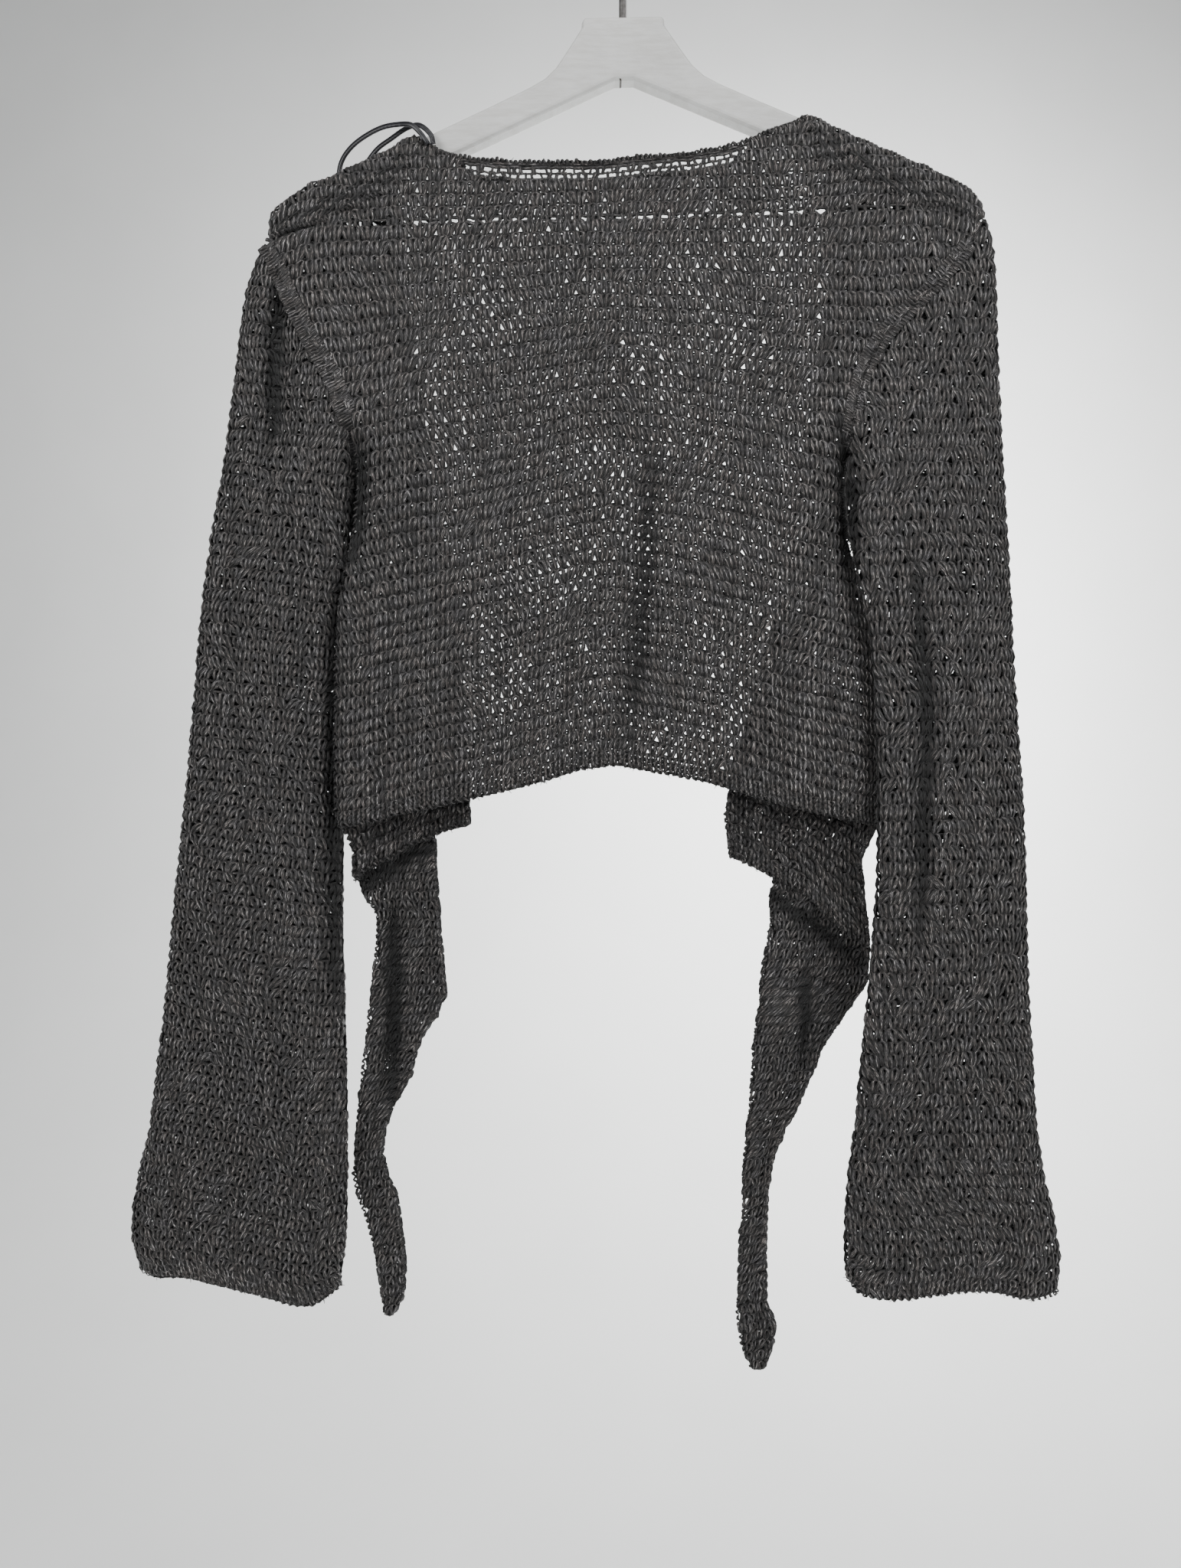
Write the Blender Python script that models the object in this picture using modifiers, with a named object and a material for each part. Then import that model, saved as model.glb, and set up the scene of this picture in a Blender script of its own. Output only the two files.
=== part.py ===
"""Cropped cardigan on a hanger.

A loosely knitted charcoal cardigan hangs open on a flat painted wooden hanger. Its back faces
the viewer, at -Y. The origin is the inside top of the hook, where a rod carries it, with +Z up
and +X to the viewer's right. Every cloth piece is a wall of even thickness, worked out from the
tables below. Their lengths are millimetres, read across and down from the inside top of the
hook, and the pieces stop short of each other by a narrow seam gap.
"""

import math
from collections import namedtuple

import bpy
import numpy as np
from mathutils import Vector

MM = 0.001

# Cloth
CLOTH = 2.0
SEAM_GAP = 0.3
SIDE_SEAM_SPREAD = 2.2
# The seams under the yoke widen a little towards the shoulder tips, over so many of its columns
TIP_EASE = 1.5
TIP_EASE_PLACES = 4
TIE_SETBACK = 2.6

# Hanger and hook
WOOD_THICKNESS = 12.0
WOOD_ROUNDING = 2.5
WOOD_TOP = -66.0
WOOD_TILT = math.radians(1.2)
HOOK_WIRE = 5.0
HOOK_BEND = 22.0

# How the cloth turns over the top of the hanger: fall from the crest, half width and roundness
CREST_FALL = 8.0
CREST_HALF = 9.5
CREST_POWER = 2.9
CREST_QUARTER = 14.0

# Half depth of the hanging body at its middle, and where that depth is reached
BODY_HALF = 11.0
BODY_FULL_AT = 0.45

# The share of the armhole, at the shoulder, that the yoke takes
YOKE_SHARE = 0.03
# The share of a panel's height that its armhole takes
ARMHOLE_SHARE = 0.34

# Sides of the garment in depth, and from left to right
BACK = -1
FRONT = 1

HangerRow = namedtuple("HangerRow", "across z")
ArmholeRow = namedtuple("ArmholeRow", "x z")
YokeRow = namedtuple("YokeRow", "crest_x crest_z line_x line_z reach")
SideRow = namedtuple("SideRow", "x z fold_y")
HemRow = namedtuple("HemRow", "x z")
OpeningRow = namedtuple("OpeningRow", "x z")
SlitRow = namedtuple("SlitRow", "x z")
SleeveRow = namedtuple("SleeveRow", "inner_x inner_z inner_y outer_x outer_z outer_y depth")
CuffRow = namedtuple("CuffRow", "share drop")
TieRow = namedtuple("TieRow", "z left right y")
FoldRow = namedtuple("FoldRow", "x z")
TapeRow = namedtuple("TapeRow", "x z y")

# Half of the hanger's outline, from the top of its neck out to the tip and back underneath
HANGER_HALF = [
    HangerRow(24.0, -66.0),
    HangerRow(26.0, -67.5),
    HangerRow(26.0, -72.0),
    HangerRow(31.0, -79.5),
    HangerRow(37.0, -88.5),
    HangerRow(43.0, -97.0),
    HangerRow(50.0, -103.5),
    HangerRow(60.0, -109.0),
    HangerRow(85.0, -120.5),
    HangerRow(121.0, -136.5),
    HangerRow(160.0, -154.0),
    HangerRow(190.0, -167.5),
    HangerRow(206.0, -175.5),
    HangerRow(213.0, -181.0),
    HangerRow(217.0, -188.0),
    HangerRow(217.0, -195.0),
    HangerRow(212.0, -199.5),
    HangerRow(205.0, -198.0),
    HangerRow(160.0, -173.5),
    HangerRow(100.0, -146.5),
    HangerRow(6.0, -105.0),
]

# Each armhole, from the underarm up to the shoulder
ARMHOLE = {
    "left": [
        ArmholeRow(-169.0, -328.0),
        ArmholeRow(-171.0, -315.0),
        ArmholeRow(-178.0, -296.0),
        ArmholeRow(-188.0, -278.0),
        ArmholeRow(-197.0, -262.0),
        ArmholeRow(-207.0, -241.0),
        ArmholeRow(-214.5, -224.0),
        ArmholeRow(-223.5, -206.0),
    ],
    "right": [
        ArmholeRow(139.0, -338.0),
        ArmholeRow(141.0, -320.0),
        ArmholeRow(146.0, -296.0),
        ArmholeRow(152.0, -280.0),
        ArmholeRow(160.0, -267.0),
        ArmholeRow(172.0, -254.0),
        ArmholeRow(184.0, -243.0),
        ArmholeRow(205.0, -220.0),
        ArmholeRow(216.0, -206.0),
        ArmholeRow(225.5, -190.0),
    ],
}

# The yoke from the left shoulder tip, past the neck, to the right one. The crest is the line
# over the hanger, the line is the pierced seam on the back, and reach is how far the cloth goes
# past the crest: down the front where positive, stopping on the back where negative.
YOKE = [
    YokeRow(-221.5, -193.0, -215.0, -205.5, 8.0),
    YokeRow(-215.5, -184.5, -207.0, -201.5, 11.0),
    YokeRow(-207.0, -178.0, -198.0, -199.0, 12.0),
    YokeRow(-194.0, -171.0, -187.0, -197.5, 12.0),
    YokeRow(-175.0, -162.2, -171.0, -197.0, 12.0),
    YokeRow(-157.0, -153.8, -155.0, -196.5, 12.0),
    YokeRow(-145.0, -148.2, -145.0, -196.0, 12.0),
    YokeRow(-138.5, -144.3, -138.5, -195.9, 7.0),
    YokeRow(-132.5, -141.4, -132.5, -195.7, 0.0),
    YokeRow(-126.5, -138.9, -126.5, -195.5, -6.0),
    YokeRow(-120.0, -136.7, -120.0, -195.4, -11.6),
    YokeRow(-113.0, -133.6, -113.0, -195.2, -19.0),
    YokeRow(-98.0, -130.5, -98.0, -194.8, -25.0),
    YokeRow(-78.0, -132.4, -78.0, -194.4, -25.0),
    YokeRow(-54.0, -133.3, -54.0, -194.0, -25.0),
    YokeRow(-30.0, -133.3, -30.0, -193.5, -25.0),
    YokeRow(-6.0, -132.4, -6.0, -193.1, -25.0),
    YokeRow(17.0, -129.5, 17.0, -192.6, -25.0),
    YokeRow(41.0, -128.0, 41.0, -191.9, -25.0),
    YokeRow(60.0, -126.7, 60.0, -191.4, -23.0),
    YokeRow(76.0, -125.0, 76.0, -191.0, -20.5),
    YokeRow(88.0, -124.5, 88.0, -190.5, -15.7),
    YokeRow(98.0, -124.0, 98.0, -190.0, -12.5),
    YokeRow(105.5, -125.3, 105.5, -189.5, -9.5),
    YokeRow(112.0, -126.4, 112.0, -189.2, -4.5),
    YokeRow(118.0, -128.2, 118.0, -188.9, 1.5),
    YokeRow(124.0, -130.9, 124.0, -188.6, 8.0),
    YokeRow(130.0, -133.8, 130.0, -188.3, 12.0),
    YokeRow(140.0, -138.5, 140.0, -188.0, 12.0),
    YokeRow(154.0, -144.5, 154.0, -187.5, 12.0),
    YokeRow(173.0, -152.7, 172.0, -187.0, 12.0),
    YokeRow(191.0, -160.4, 187.0, -186.8, 12.0),
    YokeRow(204.0, -166.5, 198.0, -187.0, 12.0),
    YokeRow(214.8, -172.8, 206.5, -189.0, 11.0),
    YokeRow(222.4, -180.2, 214.0, -193.0, 8.0),
]
LEFT_NECK_ROW = 7
RIGHT_NECK_ROW = 28

# The side folds of the body, from the underarm down to the hem of the back
BODY_SIDE = {
    "left": [
        SideRow(-169.0, -328.0, 0.0),
        SideRow(-166.5, -345.0, -0.5),
        SideRow(-166.5, -362.0, -1.5),
        SideRow(-169.0, -385.0, -3.0),
        SideRow(-174.0, -413.0, -3.0),
        SideRow(-178.5, -437.0, -3.0),
        SideRow(-180.5, -485.0, -3.0),
        SideRow(-181.0, -534.0, -3.0),
        SideRow(-180.0, -562.0, -3.0),
        SideRow(-177.0, -575.0, -3.0),
    ],
    "right": [
        SideRow(139.0, -338.0, 0.0),
        SideRow(136.0, -352.0, 0.5),
        SideRow(136.0, -366.0, 1.5),
        SideRow(139.0, -384.0, 3.0),
        SideRow(146.0, -408.0, 4.0),
        SideRow(154.0, -437.0, 4.0),
        SideRow(160.0, -461.0, 4.0),
        SideRow(163.0, -490.0, 4.0),
        SideRow(163.5, -534.0, 4.0),
        SideRow(163.0, -562.0, 4.0),
        SideRow(160.5, -575.0, 4.0),
    ],
}

# The arched hem of the back
BACK_HEM = [
    HemRow(-177.0, -575.0),
    HemRow(-163.0, -573.5),
    HemRow(-149.0, -569.5),
    HemRow(-125.0, -564.0),
    HemRow(-97.0, -558.0),
    HemRow(-54.0, -548.0),
    HemRow(-30.0, -540.0),
    HemRow(-6.0, -536.5),
    HemRow(17.0, -540.5),
    HemRow(41.0, -544.5),
    HemRow(65.0, -551.0),
    HemRow(88.0, -558.0),
    HemRow(112.0, -565.0),
    HemRow(136.0, -569.5),
    HemRow(160.5, -575.0),
]

# The open edges of the fronts, from the neck down
OPENING = {
    "left": [
        OpeningRow(-145.0, -160.6),
        OpeningRow(-142.5, -192.0),
        OpeningRow(-138.0, -240.0),
        OpeningRow(-131.0, -289.0),
        OpeningRow(-126.0, -338.0),
        OpeningRow(-116.0, -387.0),
        OpeningRow(-108.0, -418.0),
        OpeningRow(-104.0, -460.0),
        OpeningRow(-101.5, -509.0),
        OpeningRow(-99.0, -553.0),
        OpeningRow(-98.5, -573.0),
    ],
    "right": [
        OpeningRow(130.0, -147.4),
        OpeningRow(132.5, -192.0),
        OpeningRow(130.5, -240.0),
        OpeningRow(125.5, -280.0),
        OpeningRow(118.5, -324.0),
        OpeningRow(113.5, -363.0),
        OpeningRow(106.0, -387.0),
        OpeningRow(99.0, -425.0),
        OpeningRow(91.5, -470.0),
        OpeningRow(79.0, -505.0),
        OpeningRow(68.0, -548.0),
        OpeningRow(65.5, -578.0),
        OpeningRow(68.0, -591.0),
    ],
}

# The free side edges of the fronts, below the side seams
FRONT_SLIT = {
    "left": [
        SlitRow(-177.0, -575.0),
        SlitRow(-172.5, -583.0),
        SlitRow(-171.5, -598.0),
        SlitRow(-172.5, -611.0),
    ],
    "right": [
        SlitRow(160.5, -575.0),
        SlitRow(153.5, -582.0),
        SlitRow(151.5, -590.0),
        SlitRow(153.0, -605.0),
        SlitRow(155.5, -631.0),
        SlitRow(158.0, -652.0),
    ],
}

# The slanted hems of the fronts, from the side to the opening
FRONT_HEM = {
    "left": [
        HemRow(-172.5, -611.0),
        HemRow(-163.0, -601.5),
        HemRow(-153.0, -596.5),
        HemRow(-145.0, -593.0),
        HemRow(-133.0, -584.5),
        HemRow(-119.0, -580.0),
        HemRow(-109.0, -575.5),
        HemRow(-98.5, -573.0),
    ],
    "right": [
        HemRow(158.0, -652.0),
        HemRow(150.0, -645.0),
        HemRow(143.0, -641.0),
        HemRow(128.0, -626.5),
        HemRow(120.0, -617.5),
        HemRow(111.0, -613.0),
        HemRow(95.0, -604.5),
        HemRow(79.0, -596.0),
        HemRow(68.0, -591.0),
    ],
}

# Each sleeve from its armhole to its cuff: inner and outer fold, and the depth between layers
SLEEVE = {
    "left": [
        SleeveRow(-171.7, -329.2, 0.0, -224.0, -206.2, 0.0, 19.0),
        SleeveRow(-171.0, -344.0, 1.5, -234.0, -231.0, 0.0, 20.0),
        SleeveRow(-170.5, -364.0, 5.0, -240.0, -262.0, 0.0, 21.0),
        SleeveRow(-170.0, -390.0, 9.0, -245.0, -301.0, 0.0, 22.0),
        SleeveRow(-173.0, -420.0, 10.5, -250.0, -341.0, 0.0, 22.0),
        SleeveRow(-176.5, -451.0, 10.5, -258.0, -386.0, 0.0, 22.0),
        SleeveRow(-178.0, -490.0, 10.5, -265.0, -438.0, 0.0, 22.0),
        SleeveRow(-178.5, -534.0, 10.5, -269.0, -488.0, 0.0, 22.0),
        SleeveRow(-178.0, -580.0, 9.0, -274.0, -543.0, 0.0, 22.0),
        SleeveRow(-178.5, -612.0, 8.0, -279.0, -592.0, 0.0, 22.0),
        SleeveRow(-177.5, -650.0, 6.0, -284.0, -643.0, 0.0, 22.0),
        SleeveRow(-176.0, -689.0, 5.0, -288.0, -688.0, 0.0, 23.0),
        SleeveRow(-174.5, -728.0, 3.0, -293.0, -727.0, 0.0, 24.0),
        SleeveRow(-174.0, -767.0, 2.0, -298.0, -766.0, 0.0, 25.0),
        SleeveRow(-174.0, -806.0, 2.0, -307.0, -805.0, 0.0, 27.0),
        SleeveRow(-175.0, -835.0, 1.0, -308.0, -830.0, 0.0, 28.0),
        SleeveRow(-178.5, -861.0, 0.0, -302.0, -850.0, 0.0, 28.0),
    ],
    "right": [
        SleeveRow(141.6, -339.5, 0.0, 226.0, -190.3, 0.0, 19.0),
        SleeveRow(140.0, -356.0, -2.0, 232.0, -213.0, 0.0, 20.0),
        SleeveRow(139.5, -373.0, -6.0, 234.0, -240.0, 0.0, 21.0),
        SleeveRow(141.0, -392.0, -10.0, 235.0, -272.0, 0.0, 22.0),
        SleeveRow(146.0, -420.0, -13.0, 237.0, -310.0, 0.0, 22.0),
        SleeveRow(152.5, -451.0, -14.0, 239.0, -351.0, 0.0, 22.0),
        SleeveRow(155.5, -487.0, -14.0, 242.0, -397.0, 0.0, 22.0),
        SleeveRow(157.0, -529.0, -14.0, 244.5, -452.0, 0.0, 22.0),
        SleeveRow(157.5, -572.0, -13.0, 248.0, -510.0, 0.0, 22.0),
        SleeveRow(157.0, -605.0, -12.0, 251.5, -562.0, 0.0, 22.0),
        SleeveRow(155.0, -641.0, -10.0, 253.0, -611.0, 0.0, 22.0),
        SleeveRow(152.5, -676.0, -8.0, 254.0, -659.0, 0.0, 23.0),
        SleeveRow(149.0, -716.0, -6.0, 256.5, -705.0, 0.0, 24.0),
        SleeveRow(145.5, -757.0, -5.0, 259.0, -751.0, 0.0, 25.0),
        SleeveRow(141.0, -790.0, -4.0, 264.0, -789.0, 0.0, 27.0),
        SleeveRow(139.5, -818.0, -3.0, 272.0, -822.0, 0.0, 28.0),
        SleeveRow(139.0, -842.0, -2.0, 274.5, -847.0, 0.0, 29.0),
        SleeveRow(141.0, -856.0, -1.0, 272.0, -862.0, 0.0, 29.0),
    ],
}

# How far the cuff's edge hangs below a straight line from its inner to its outer fold
CUFF_LINE = {
    "left": [
        CuffRow(0.0, 0.0),
        CuffRow(0.14, 10.5),
        CuffRow(0.35, 5.0),
        CuffRow(0.6, 0.0),
        CuffRow(0.76, -2.4),
        CuffRow(0.9, 1.0),
        CuffRow(1.0, 0.0),
    ],
    "right": [
        CuffRow(0.0, 0.0),
        CuffRow(0.05, 9.0),
        CuffRow(0.16, 9.5),
        CuffRow(0.37, 4.8),
        CuffRow(0.57, 0.5),
        CuffRow(0.69, 1.0),
        CuffRow(0.85, 6.0),
        CuffRow(1.0, 4.0),
    ],
}

# The hanging ties, from their sewn top behind the hem down to the tip
TIE = {
    "left": [
        TieRow(-577.0, -170.0, -121.0, 0.0),
        TieRow(-607.0, -170.5, -120.0, 0.0),
        TieRow(-620.0, -164.0, -119.0, 0.0),
        TieRow(-631.0, -157.0, -118.0, 0.0),
        TieRow(-656.0, -158.5, -116.0, -1.0),
        TieRow(-681.0, -161.0, -113.5, -2.0),
        TieRow(-691.0, -162.0, -117.0, -2.0),
        TieRow(-701.0, -163.0, -123.0, -3.0),
        TieRow(-711.0, -164.0, -131.0, -3.0),
        TieRow(-728.0, -166.0, -134.0, -3.0),
        TieRow(-752.0, -168.5, -146.0, -4.0),
        TieRow(-767.0, -170.0, -152.5, -4.0),
        TieRow(-786.0, -171.0, -153.5, -4.0),
        TieRow(-801.0, -171.5, -148.0, -4.0),
        TieRow(-816.0, -166.0, -143.5, -4.0),
        TieRow(-833.0, -161.0, -141.5, -5.0),
        TieRow(-850.0, -157.0, -139.5, -5.0),
        TieRow(-867.0, -154.0, -138.5, -5.0),
        TieRow(-878.0, -154.5, -142.0, -5.0),
        TieRow(-885.0, -151.5, -146.0, -5.0),
    ],
    "right": [
        TieRow(-590.0, 97.0, 149.0, 0.0),
        TieRow(-610.0, 96.0, 151.0, 0.0),
        TieRow(-632.0, 95.0, 155.5, 0.0),
        TieRow(-656.0, 91.5, 159.5, 0.0),
        TieRow(-668.0, 89.5, 159.5, -1.0),
        TieRow(-677.0, 88.5, 156.0, -1.0),
        TieRow(-690.0, 87.5, 146.0, -2.0),
        TieRow(-704.0, 84.5, 136.0, -2.0),
        TieRow(-716.0, 83.5, 129.0, -2.0),
        TieRow(-735.0, 82.0, 121.0, -3.0),
        TieRow(-757.0, 80.5, 110.5, -3.0),
        TieRow(-775.0, 78.5, 101.5, -3.0),
        TieRow(-794.0, 76.5, 95.5, -4.0),
        TieRow(-812.0, 77.5, 93.0, -4.0),
        TieRow(-830.0, 75.5, 92.0, -4.0),
        TieRow(-855.0, 74.5, 91.5, -4.0),
        TieRow(-880.0, 72.5, 92.5, -5.0),
        TieRow(-893.0, 73.5, 98.5, -5.0),
        TieRow(-903.0, 75.5, 97.5, -5.0),
        TieRow(-913.0, 79.0, 93.0, -5.0),
        TieRow(-920.0, 82.5, 90.5, -5.0),
    ],
}

# Where a tie is folded along its length: the line, and how far the right of it lies behind
TIE_FOLD = {
    "left": [
        FoldRow(-146.0, -577.0),
        FoldRow(-150.0, -630.0),
        FoldRow(-151.0, -700.0),
        FoldRow(-155.0, -740.0),
        FoldRow(-162.0, -775.0),
        FoldRow(-161.0, -800.0),
        FoldRow(-150.0, -885.0),
    ],
    "right": [
        FoldRow(124.0, -590.0),
        FoldRow(121.0, -670.0),
        FoldRow(114.0, -716.0),
        FoldRow(99.0, -757.0),
        FoldRow(86.0, -800.0),
        FoldRow(83.0, -850.0),
        FoldRow(84.0, -920.0),
    ],
}
TIE_FOLD_DEPTH = 4.0
TIE_FOLD_TURN = 3.0
# A tie narrower than this is folded less deep
TIE_FULL_WIDTH = 20.0

# The folds that show in the cloth, as lines on its back, each with a depth and a half width
BACK_FOLD = [FoldRow(10.0, -345.0), FoldRow(12.0, -440.0), FoldRow(11.0, -540.0)]
BACK_FOLD_DEPTH = 5.0
BACK_FOLD_HALF_WIDTH = 6.0
SLEEVE_FOLD = {
    "left": [
        FoldRow(-210.0, -236.0),
        FoldRow(-211.5, -275.0),
        FoldRow(-215.0, -312.0),
        FoldRow(-219.0, -338.0),
        FoldRow(-223.0, -375.0),
    ],
    "right": [
        FoldRow(181.0, -416.0),
        FoldRow(181.0, -530.0),
        FoldRow(181.0, -652.0),
    ],
}
SLEEVE_FOLD_DEPTH = {"left": 6.0, "right": 2.5}
SLEEVE_FOLD_HALF_WIDTH = {"left": 8.0, "right": 9.0}
FOLD_FADE = 30.0

# The hanging loop: a tape sewn in at the left neck point that flops over the shoulder
TAPE_WIDTH = 3.0
TAPE_THICKNESS = 0.9
TAPE = [
    TapeRow(-121.0, -149.0, -11.5),
    TapeRow(-126.0, -142.0, -11.7),
    TapeRow(-132.0, -136.5, -10.6),
    TapeRow(-141.0, -134.0, -6.5),
    TapeRow(-151.0, -133.5, -2.5),
    TapeRow(-162.0, -136.0, 2.0),
    TapeRow(-172.0, -140.5, 6.5),
    TapeRow(-179.0, -147.0, 10.5),
    TapeRow(-181.5, -156.0, 12.5),
    TapeRow(-180.0, -167.0, 12.6),
    TapeRow(-174.5, -173.5, 12.6),
    TapeRow(-168.5, -167.5, 12.6),
    TapeRow(-167.0, -157.0, 12.4),
    TapeRow(-163.5, -149.0, 11.0),
    TapeRow(-156.0, -141.5, 7.5),
    TapeRow(-146.0, -137.5, 2.5),
    TapeRow(-136.0, -134.5, -3.0),
    TapeRow(-127.0, -135.6, -8.6),
    TapeRow(-119.5, -143.0, -11.5),
]

# How finely each piece is divided
YOKE_ROWS = 10
# Below 1 it sets the yoke's rows closer together over the hanger
YOKE_ROW_POWER = 0.7
# Columns added between the yoke's table rows, at the shoulder tips and where its edge crosses
# the hanger beside the neck
ADDED_COLUMNS = [0.5, 1.5, 7.5, 8.5, 9.5, 24.5, 25.5, 26.5, 27.5, 34.5, 35.5]
ARMHOLE_ROWS = 12
ARMHOLE_ROW_POWER = 1.5
LOWER_ROWS = 11
# Distances in from a front's folded side, before its even columns to the opening
FRONT_FOLD_STEPS = [0.0, 3.4, 8.8, 17.0]
FRONT_FULL_WIDTH = 34.0
FRONT_EVEN_COLUMNS = 5
SLEEVE_RINGS = 26
SLEEVE_LAYER_STEPS = 14
TIE_ROWS = 24
TAPE_STEPS = 36
HOOK_STEPS = 34

# Colours, linear
YARN_COLOUR = (0.045, 0.041, 0.042, 1.0)
WOOD_COLOUR = (0.68, 0.67, 0.66, 1.0)
STEEL_COLOUR = (0.45, 0.45, 0.46, 1.0)
TAPE_COLOUR = (0.03, 0.03, 0.035, 1.0)


def column_curve(knots, values):
    """Returns a smooth function through the values that is level wherever they turn."""
    knots = np.asarray(knots, dtype=float)
    values = np.asarray(values, dtype=float)
    steps = np.diff(knots)
    slopes = np.diff(values) / steps
    tangents = np.zeros(len(values))
    tangents[0] = slopes[0]
    tangents[-1] = slopes[-1]
    for i in range(1, len(values) - 1):
        before, after = slopes[i - 1], slopes[i]
        if before * after > 0:
            tangents[i] = 2 * before * after / (before + after)

    def value_at(place):
        i = min(max(int(np.searchsorted(knots, place)) - 1, 0), len(steps) - 1)
        step = steps[i]
        t = min(max((place - knots[i]) / step, 0.0), 1.0)
        start, end = values[i], values[i + 1]
        rise = t * t * (3 - 2 * t)
        return (start + (end - start) * rise
                + step * (tangents[i] * (t - 2 * t * t + t ** 3)
                          + tangents[i + 1] * (t ** 3 - t * t)))

    return value_at


def spread_places(points):
    """Shares from 0 to 1 along a row of points, by distance."""
    lengths = [0.0]
    for a, b in zip(points, points[1:]):
        lengths.append(lengths[-1] + math.dist(a, b))
    return [length / lengths[-1] for length in lengths]


def track(rows, places):
    """Returns a function that reads every column of a table at a place along its rows."""
    curves = [column_curve(places, column) for column in zip(*rows)]
    kind = type(rows[0])
    return lambda place: kind(*(curve(place) for curve in curves))


def line_track(rows):
    """A track of x and z rows, by distance along them."""
    return track(rows, spread_places([(row.x, row.z) for row in rows]))


def fold_share(distance, width, power):
    """How much of the full depth a layer has at a distance from its fold."""
    left = 1.0 - min(max(distance / width, 0.0), 1.0)
    return (1.0 - left ** power) ** (1.0 / power)


def ease(value):
    """Smooth step from 0 to 1."""
    value = min(max(value, 0.0), 1.0)
    return value * value * (3 - 2 * value)


def mix(a, b, share):
    return a + (b - a) * share


def fold_depth(rows, half_width, x, z):
    """Share of a fold's depth at a point, fading at both ends of its line."""
    best = None
    for a, b in zip(rows, rows[1:]):
        run = (b.x - a.x, b.z - a.z)
        length_squared = run[0] ** 2 + run[1] ** 2
        t = ((x - a.x) * run[0] + (z - a.z) * run[1]) / length_squared
        t = min(max(t, 0.0), 1.0)
        away = math.hypot(x - a.x - t * run[0], z - a.z - t * run[1])
        if best is None or away < best:
            best = away
    top_fade = ease((rows[0].z + FOLD_FADE / 2 - z) / FOLD_FADE)
    end_fade = ease((z - rows[-1].z + FOLD_FADE / 2) / FOLD_FADE)
    return math.exp(-(best / half_width) ** 2) * top_fade * end_fade


ARMHOLE_TRACK = {side: line_track(rows) for side, rows in ARMHOLE.items()}
ARMHOLE_LENGTH = {
    side: sum(math.dist(a, b) for a, b in zip(rows, rows[1:])) for side, rows in ARMHOLE.items()
}
UNDERARM_WIDTH = 20.0
UNDERARM_POWER = 2.0


def armhole_depth(side, share):
    """Half distance between the layers on the armhole, at a share up from the underarm."""
    length = ARMHOLE_LENGTH[side]
    at_underarm = fold_share(share * length, UNDERARM_WIDTH, UNDERARM_POWER)
    at_shoulder = fold_share((1 - share) * length, CREST_FALL, CREST_POWER)
    return CREST_HALF * at_underarm * at_shoulder


# The yoke and how it turns over the hanger

def over_crest(travel):
    """Fall below the crest and distance from the middle plane, after a travel past the crest."""
    facing = BACK if travel < 0 else FRONT
    run = abs(travel)
    if run >= CREST_QUARTER:
        return CREST_FALL + run - CREST_QUARTER, facing * CREST_HALF
    turn = math.radians(90) * run / CREST_QUARTER
    fall = CREST_FALL * (1 - math.cos(turn) ** (2 / CREST_POWER))
    return fall, facing * CREST_HALF * math.sin(turn) ** (2 / CREST_POWER)


def travel_for(fall):
    """The travel past the crest that gives a fall, negative on the back."""
    if abs(fall) >= CREST_FALL:
        return math.copysign(CREST_QUARTER + abs(fall) - CREST_FALL, fall)
    turn = math.acos((1 - abs(fall) / CREST_FALL) ** (CREST_POWER / 2))
    return math.copysign(CREST_QUARTER * turn / math.radians(90), fall)


def yoke_end_row(side):
    """The yoke's edge on an armhole, from that armhole's own shape."""
    top = ARMHOLE_TRACK[side](1.0)
    below = ARMHOLE_TRACK[side](1.0 - YOKE_SHARE)
    return YokeRow(top.x, top.z, below.x, below.z, math.dist(top, below))


YOKE_ALL = [yoke_end_row("left")] + YOKE + [yoke_end_row("right")]
YOKE_PLACES = list(range(len(YOKE_ALL)))
# The yoke's rows with their reach as a travel along the cloth, which changes evenly between rows
YOKE_TRACK = track([row._replace(reach=travel_for(row.reach)) for row in YOKE_ALL], YOKE_PLACES)
# The yoke's place at a share of its seam's length
PLACE_AT = column_curve(spread_places([(row.line_x, row.line_z) for row in YOKE_ALL]),
                        YOKE_PLACES)


def yoke_start(place):
    """The travel at which a column of the yoke starts, at the pierced seam."""
    row = YOKE_TRACK(place)
    return travel_for(-math.hypot(row.line_x - row.crest_x, row.line_z - row.crest_z))


def yoke_point(place, share):
    """A point of the yoke: place counts table rows, share runs from the seam to the far edge."""
    row = YOKE_TRACK(place)
    down = Vector((row.line_x - row.crest_x, row.line_z - row.crest_z))
    fall, y = over_crest(mix(yoke_start(place), row.reach, share))
    step = down.normalized() * fall
    return row.crest_x + step.x, y, row.crest_z + step.y


# The body panels

SIDE_TRACK = {side: line_track(rows) for side, rows in BODY_SIDE.items()}
HEM_TRACK = line_track(BACK_HEM)
FOLD_WIDTH = {
    ("left", BACK): (18.0, 2.0),
    ("right", BACK): (40.0, 1.5),
    ("left", FRONT): (40.0, 1.5),
    ("right", FRONT): (18.0, 2.0),
}


def body_edge(side, facing, share):
    """A panel's side edge at a share of its height: x, z and the depth of its edge."""
    half_spread = facing * SIDE_SEAM_SPREAD / 2
    if share < ARMHOLE_SHARE:
        up = (1 - YOKE_SHARE) * (1 - share / ARMHOLE_SHARE)
        row = ARMHOLE_TRACK[side](up)
        depth = max(armhole_depth(side, up), SIDE_SEAM_SPREAD / 2)
        return row.x, row.z, facing * depth
    row = SIDE_TRACK[side]((share - ARMHOLE_SHARE) / (1 - ARMHOLE_SHARE))
    return row.x, row.z, row.fold_y + half_spread


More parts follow.
